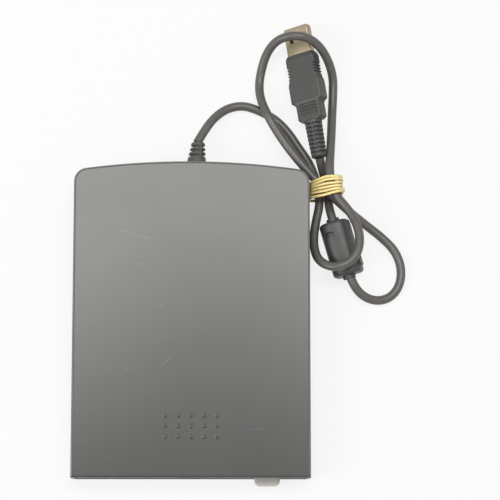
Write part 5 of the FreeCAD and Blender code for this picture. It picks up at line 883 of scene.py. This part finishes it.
class DRIVE_OT_band(bpy.types.Operator):
    """Wind the rubber band round the bundle"""

    bl_idname = "drive.band"
    bl_label = "Rubber band"

    # corners of the bundle's outline, x and z, from its lower left corner, anticlockwise seen from the front
    outline = (
        (0.0542, 0.0010), (0.0640, 0.0010), (0.0662, 0.0030), (0.0664, 0.0134), (0.0648, 0.0156),
        (0.0606, 0.0154), (0.0534, 0.0112), (0.0532, 0.0024),
    )
    # place along the bundle at its left side, at its top and at its right side, and the slack at the right
    laps = (
        (0.0631, 0.0650, 0.0654, 0.0002), (0.0620, 0.0638, 0.0642, 0.0004), (0.0608, 0.0620, 0.0628, -0.0002),
        (0.0594, 0.0602, 0.0616, 0.0000), (0.0582, 0.0587, 0.0603, 0.0010), (0.0564, 0.0571, 0.0589, 0.0002),
    )
    case_side = 0.0520
    half_thick = 0.0005

    def path(self, places, slack, index):
        """Closed line round the outline, rounded by averaging, climbing from the left over the top."""
        corners = np.array(self.outline)
        share = np.linspace(0.0, 1.0, 24, endpoint=False)[None, :, None]
        sides = corners[:, None, :] * (1 - share) + np.roll(corners, -1, axis=0)[:, None, :] * share
        line = sides.reshape(-1, 2)
        kernel = np.hanning(21)
        kernel /= kernel.sum()
        for axis in range(2):
            padded = np.concatenate([line[-10:, axis], line[:, axis], line[:10, axis]])
            line[:, axis] = np.convolve(padded, kernel, mode="valid")
        centre = line.mean(axis=0)
        outward = (line - centre) / np.linalg.norm(line - centre, axis=1)[:, None]
        right = smooth_step(0.75, 1.0, outward[:, 0])
        turn = full_turn(len(line))[0]
        lift = 0.00030 + 0.00008 * index + 0.00008 * np.sin(3 * turn + index)
        line = line + outward * (lift + slack * right)[:, None]
        across = (line[:, 0] - line[:, 0].min()) / np.ptp(line[:, 0])
        y = np.interp(across, (0.0, 0.45, 1.0), places) + 0.00012 * np.sin(2 * turn + 1.7 * index)
        beside_case = np.maximum(line[:, 0], self.case_side + self.half_thick)
        on_floor = np.maximum(line[:, 1], self.half_thick)
        return np.stack([beside_case, y, on_floor], axis=-1)

    def turn(self, path, width, thickness):
        """Flat oval carried along the closed path, and how far each point is towards its edges, from 0 to 1."""
        ahead = np.roll(path, -1, axis=0) - np.roll(path, 1, axis=0)
        ahead /= np.linalg.norm(ahead, axis=1)[:, None]
        wide = np.array([0.0, 1.0, 0.0]) - ahead * ahead[:, 1:2]
        wide /= np.linalg.norm(wide, axis=1)[:, None]
        out = np.cross(ahead, wide)
        angle = full_turn(14)[..., None]
        across = np.sign(np.cos(angle)) * np.abs(np.cos(angle)) ** 0.8
        through = np.sign(np.sin(angle)) * np.abs(np.sin(angle)) ** 0.8
        rings = path[:, None] + wide[:, None] * across * width / 2 + out[:, None] * through * thickness / 2
        return rings, np.broadcast_to(np.abs(across[..., 0]), rings.shape[:2])

    def latex(self, colour, painted_shade_colour):
        """Thin natural latex: a little light passes through it, painted shade darkens it along its edges, and it
        has dusty streaks.
        """
        finish = Finish("band_latex", colour, 0.38)
        finish.set(Subsurface_Weight=0.15, Subsurface_Scale=0.0006)
        drawn_out = finish.stretched((1.0, 7.0, 1.0))
        streak = finish.spread(finish.noise(0.0014, detail=4.0, place=drawn_out), 0.35, 0.65)
        edge = finish.add("ShaderNodeAttribute", attribute_name="edge").outputs["Fac"]
        body = finish.mix(streak, shade(colour, 0.80), shade(colour, 1.12))
        # painted shade: the band darkens towards the edges of each strand
        finish.paint(finish.mix(finish.spread(edge, 0.45, 1.0), body, painted_shade_colour))
        finish.relief(finish.noise(0.0003), 0.00002)
        return finish

    def execute(self, context):
        settings = context.scene.drive_band
        latex = self.latex(settings.latex, settings.edge)
        for index, (*places, slack) in enumerate(self.laps[:settings.turns]):
            path = self.path(places, slack, index)
            rings, share = self.turn(path, settings.width, settings.thickness)
            faces = tube_faces(*rings.shape[:2], join_rows=True)
            piece = mesh_piece("band_turn_%d" % (index + 1), rings.reshape(-1, 3), faces)
            # how far each point is towards the strand's edges; this sets where the painted shade falls
            edge = piece.data.attributes.new("edge", "FLOAT", "POINT")
            edge.data.foreach_set("value", share.ravel())
            dress(piece, latex, "band_rubber", *(("rubber_band",) if index == 0 else ()))
        return {"FINISHED"}


class DRIVE_OT_declare_lead(bpy.types.Operator):
    bl_idname = "drive.declare_lead"
    bl_label = "Declare lead"

    def execute(self, context):
        objects = bpy.data.objects
        names = [
            "strain_relief_sleeve", "plug_boot_sleeve", "plug_grip", "plug_sleeve", "ferrite_cap", "ferrite_latch"]
        names += [o.name for o in objects if o.name.startswith("band_turn")]
        return {"FINISHED"}


class DRIVE_OT_stage(bpy.types.Operator):
    """Set up the floor, lamps, world and camera"""

    bl_idname = "drive.stage"
    bl_label = "Stage"

    # name, place, size, the setting its power comes from, its share of that and its roll in degrees
    lamps = (
        ("key_left", (-0.25, 0.39, 1.85), 0.48, "key_power", 0.44, 22),
        ("key_right", (0.35, 0.44, 1.85), 0.54, "key_power", 0.56, -14),
        ("fill_left", (-1.2, -0.4, 1.2), 0.9, "fill_power", 1.0, 0),
        ("fill_right", (1.4, 0.1, 1.1), 0.8, "fill_power", 0.15, 0),
    )
    lamp_colour = (1.0, 0.992, 0.96)
    floor_half_width = 2.5
    floor_front = -2.0
    floor_run = 1.6
    bend_radius = 0.5
    wall_top = 2.2
    # how much of the floor's light is even white where it is seen or reflected
    floor_glow = 0.82

    def ray_share(self, tree, strength):
        """strength for camera, glossy and transmission rays and 0 for the rest."""
        rays = tree.nodes.new("ShaderNodeLightPath").outputs
        seen = maths(tree, "MAXIMUM", rays["Is Camera Ray"], rays["Is Glossy Ray"])
        seen = maths(tree, "MAXIMUM", seen, rays["Is Transmission Ray"])
        return maths(tree, "MULTIPLY", seen, strength)

    def floor(self, settings):
        """Floor just under the feet that bends up into a backdrop: a flat run, a quarter circle, a wall."""
        bend = np.linspace(0.0, math.pi / 2, 16)
        reach, radius = self.floor_run, self.bend_radius
        y = np.concatenate([[self.floor_front], reach + radius * np.sin(bend), [reach + radius]])
        z = np.concatenate([[0.0], radius - radius * np.cos(bend), [self.wall_top]]) - 0.02 * MM
        x = np.array([-self.floor_half_width, self.floor_half_width])
        points = np.stack(np.broadcast_arrays(x[None, :], y[:, None], z[:, None]), axis=-1)
        row = np.arange(len(y) - 1) * 2
        faces = np.stack([row, row + 1, row + 3, row + 2], axis=-1)
        piece = mesh_piece("floor", points.reshape(-1, 3), faces.tolist())
        finish = Finish("floor_paper", settings.floor, 0.9)
        glow = finish.add("ShaderNodeEmission", {"Color": WHITE})
        blend = finish.add("ShaderNodeMixShader")
        finish.wire(self.ray_share(finish.tree, self.floor_glow), blend.inputs["Fac"])
        finish.wire(finish.shader.outputs["BSDF"], blend.inputs[1])
        finish.wire(glow.outputs["Emission"], blend.inputs[2])
        finish.wire(blend.outputs["Shader"], finish.tree.nodes["Material Output"].inputs["Surface"])
        piece.data.materials.append(finish.material)

    def lamp(self, name, place, size, power, roll):
        """Square area lamp aimed at the middle of the drive and turned by roll about its own aim."""
        light = bpy.data.lights.new(name, "AREA")
        light.shape = "SQUARE"
        light.size = size
        light.energy = power
        light.color = self.lamp_colour
        lamp = bpy.data.objects.new(name, light)
        lamp.location = place
        direction = -lamp.location.normalized()
        aim = direction.to_track_quat("-Z", "Y") @ Quaternion((0.0, 0.0, 1.0), roll)
        lamp.rotation_euler = aim.to_euler()
        bpy.context.scene.collection.objects.link(lamp)

    def world(self, scene, strength):
        """Even sky that is white where it is seen or reflected, and strength elsewhere."""
        world = bpy.data.worlds.new("studio")
        world.use_nodes = True
        tree = world.node_tree
        sky = tree.nodes["Background"]
        sky.inputs["Color"].default_value = WHITE
        total = maths(tree, "ADD", self.ray_share(tree, 1.0 - strength), strength)
        tree.links.new(total, sky.inputs["Strength"])
        scene.world = world

    def camera(self, scene):
        """Long lens from above the front edge."""
        camera = bpy.data.cameras.new("camera")
        camera.lens = CAMERA_LENS
        camera.sensor_width = 36.0
        camera.clip_start = 0.01
        camera.clip_end = 20.0
        holder = bpy.data.objects.new("camera", camera)
        holder.location = CAMERA_PLACE
        holder.rotation_euler = CAMERA_TURN
        scene.collection.objects.link(holder)
        scene.camera = holder

    def execute(self, context):
        scene = context.scene
        settings = scene.drive_stage
        scene.view_settings.view_transform = "Standard"
        self.floor(settings)
        for name, place, size, power, share, roll in self.lamps:
            self.lamp(name, place, size, getattr(settings, power) * share, math.radians(roll))
        self.world(scene, settings.sky)
        self.camera(scene)
        return {"FINISHED"}


OPERATORS = (
    DRIVE_OT_case, DRIVE_OT_mechanism, DRIVE_OT_lead, DRIVE_OT_plug, DRIVE_OT_ferrite, DRIVE_OT_band,
    DRIVE_OT_declare_lead, DRIVE_OT_stage,
)


class DRIVE_PT_pieces(bpy.types.Panel):
    """Lists the drive's operators in the sidebar"""

    bl_idname = "DRIVE_PT_pieces"
    bl_label = "Floppy disk drive"
    bl_space_type = "VIEW_3D"
    bl_region_type = "UI"
    bl_category = "Drive"

    def draw(self, context):
        for operator in OPERATORS:
            self.layout.operator(operator.bl_idname)


SETTINGS = {
    "drive_case": CaseSettings, "drive_lead": LeadSettings,
    "drive_band": BandSettings, "drive_stage": StageSettings,
}


def register():
    for group in SETTINGS.values():
        bpy.utils.register_class(group)
    for name, group in SETTINGS.items():
        setattr(bpy.types.Scene, name, PointerProperty(type=group))
    for cls in OPERATORS + (DRIVE_PT_pieces,):
        bpy.utils.register_class(cls)


def unregister():
    for cls in (DRIVE_PT_pieces,) + OPERATORS[::-1]:
        bpy.utils.unregister_class(cls)
    for name in SETTINGS:
        delattr(bpy.types.Scene, name)
    for group in SETTINGS.values():
        bpy.utils.unregister_class(group)


def main():
    register()
    bpy.ops.drive.case()
    bpy.ops.drive.mechanism()
    bpy.ops.drive.lead()
    bpy.ops.drive.plug()
    bpy.ops.drive.ferrite()
    bpy.ops.drive.band()
    bpy.ops.drive.declare_lead()
    bpy.ops.drive.stage()


if __name__ == "__main__":
    main()
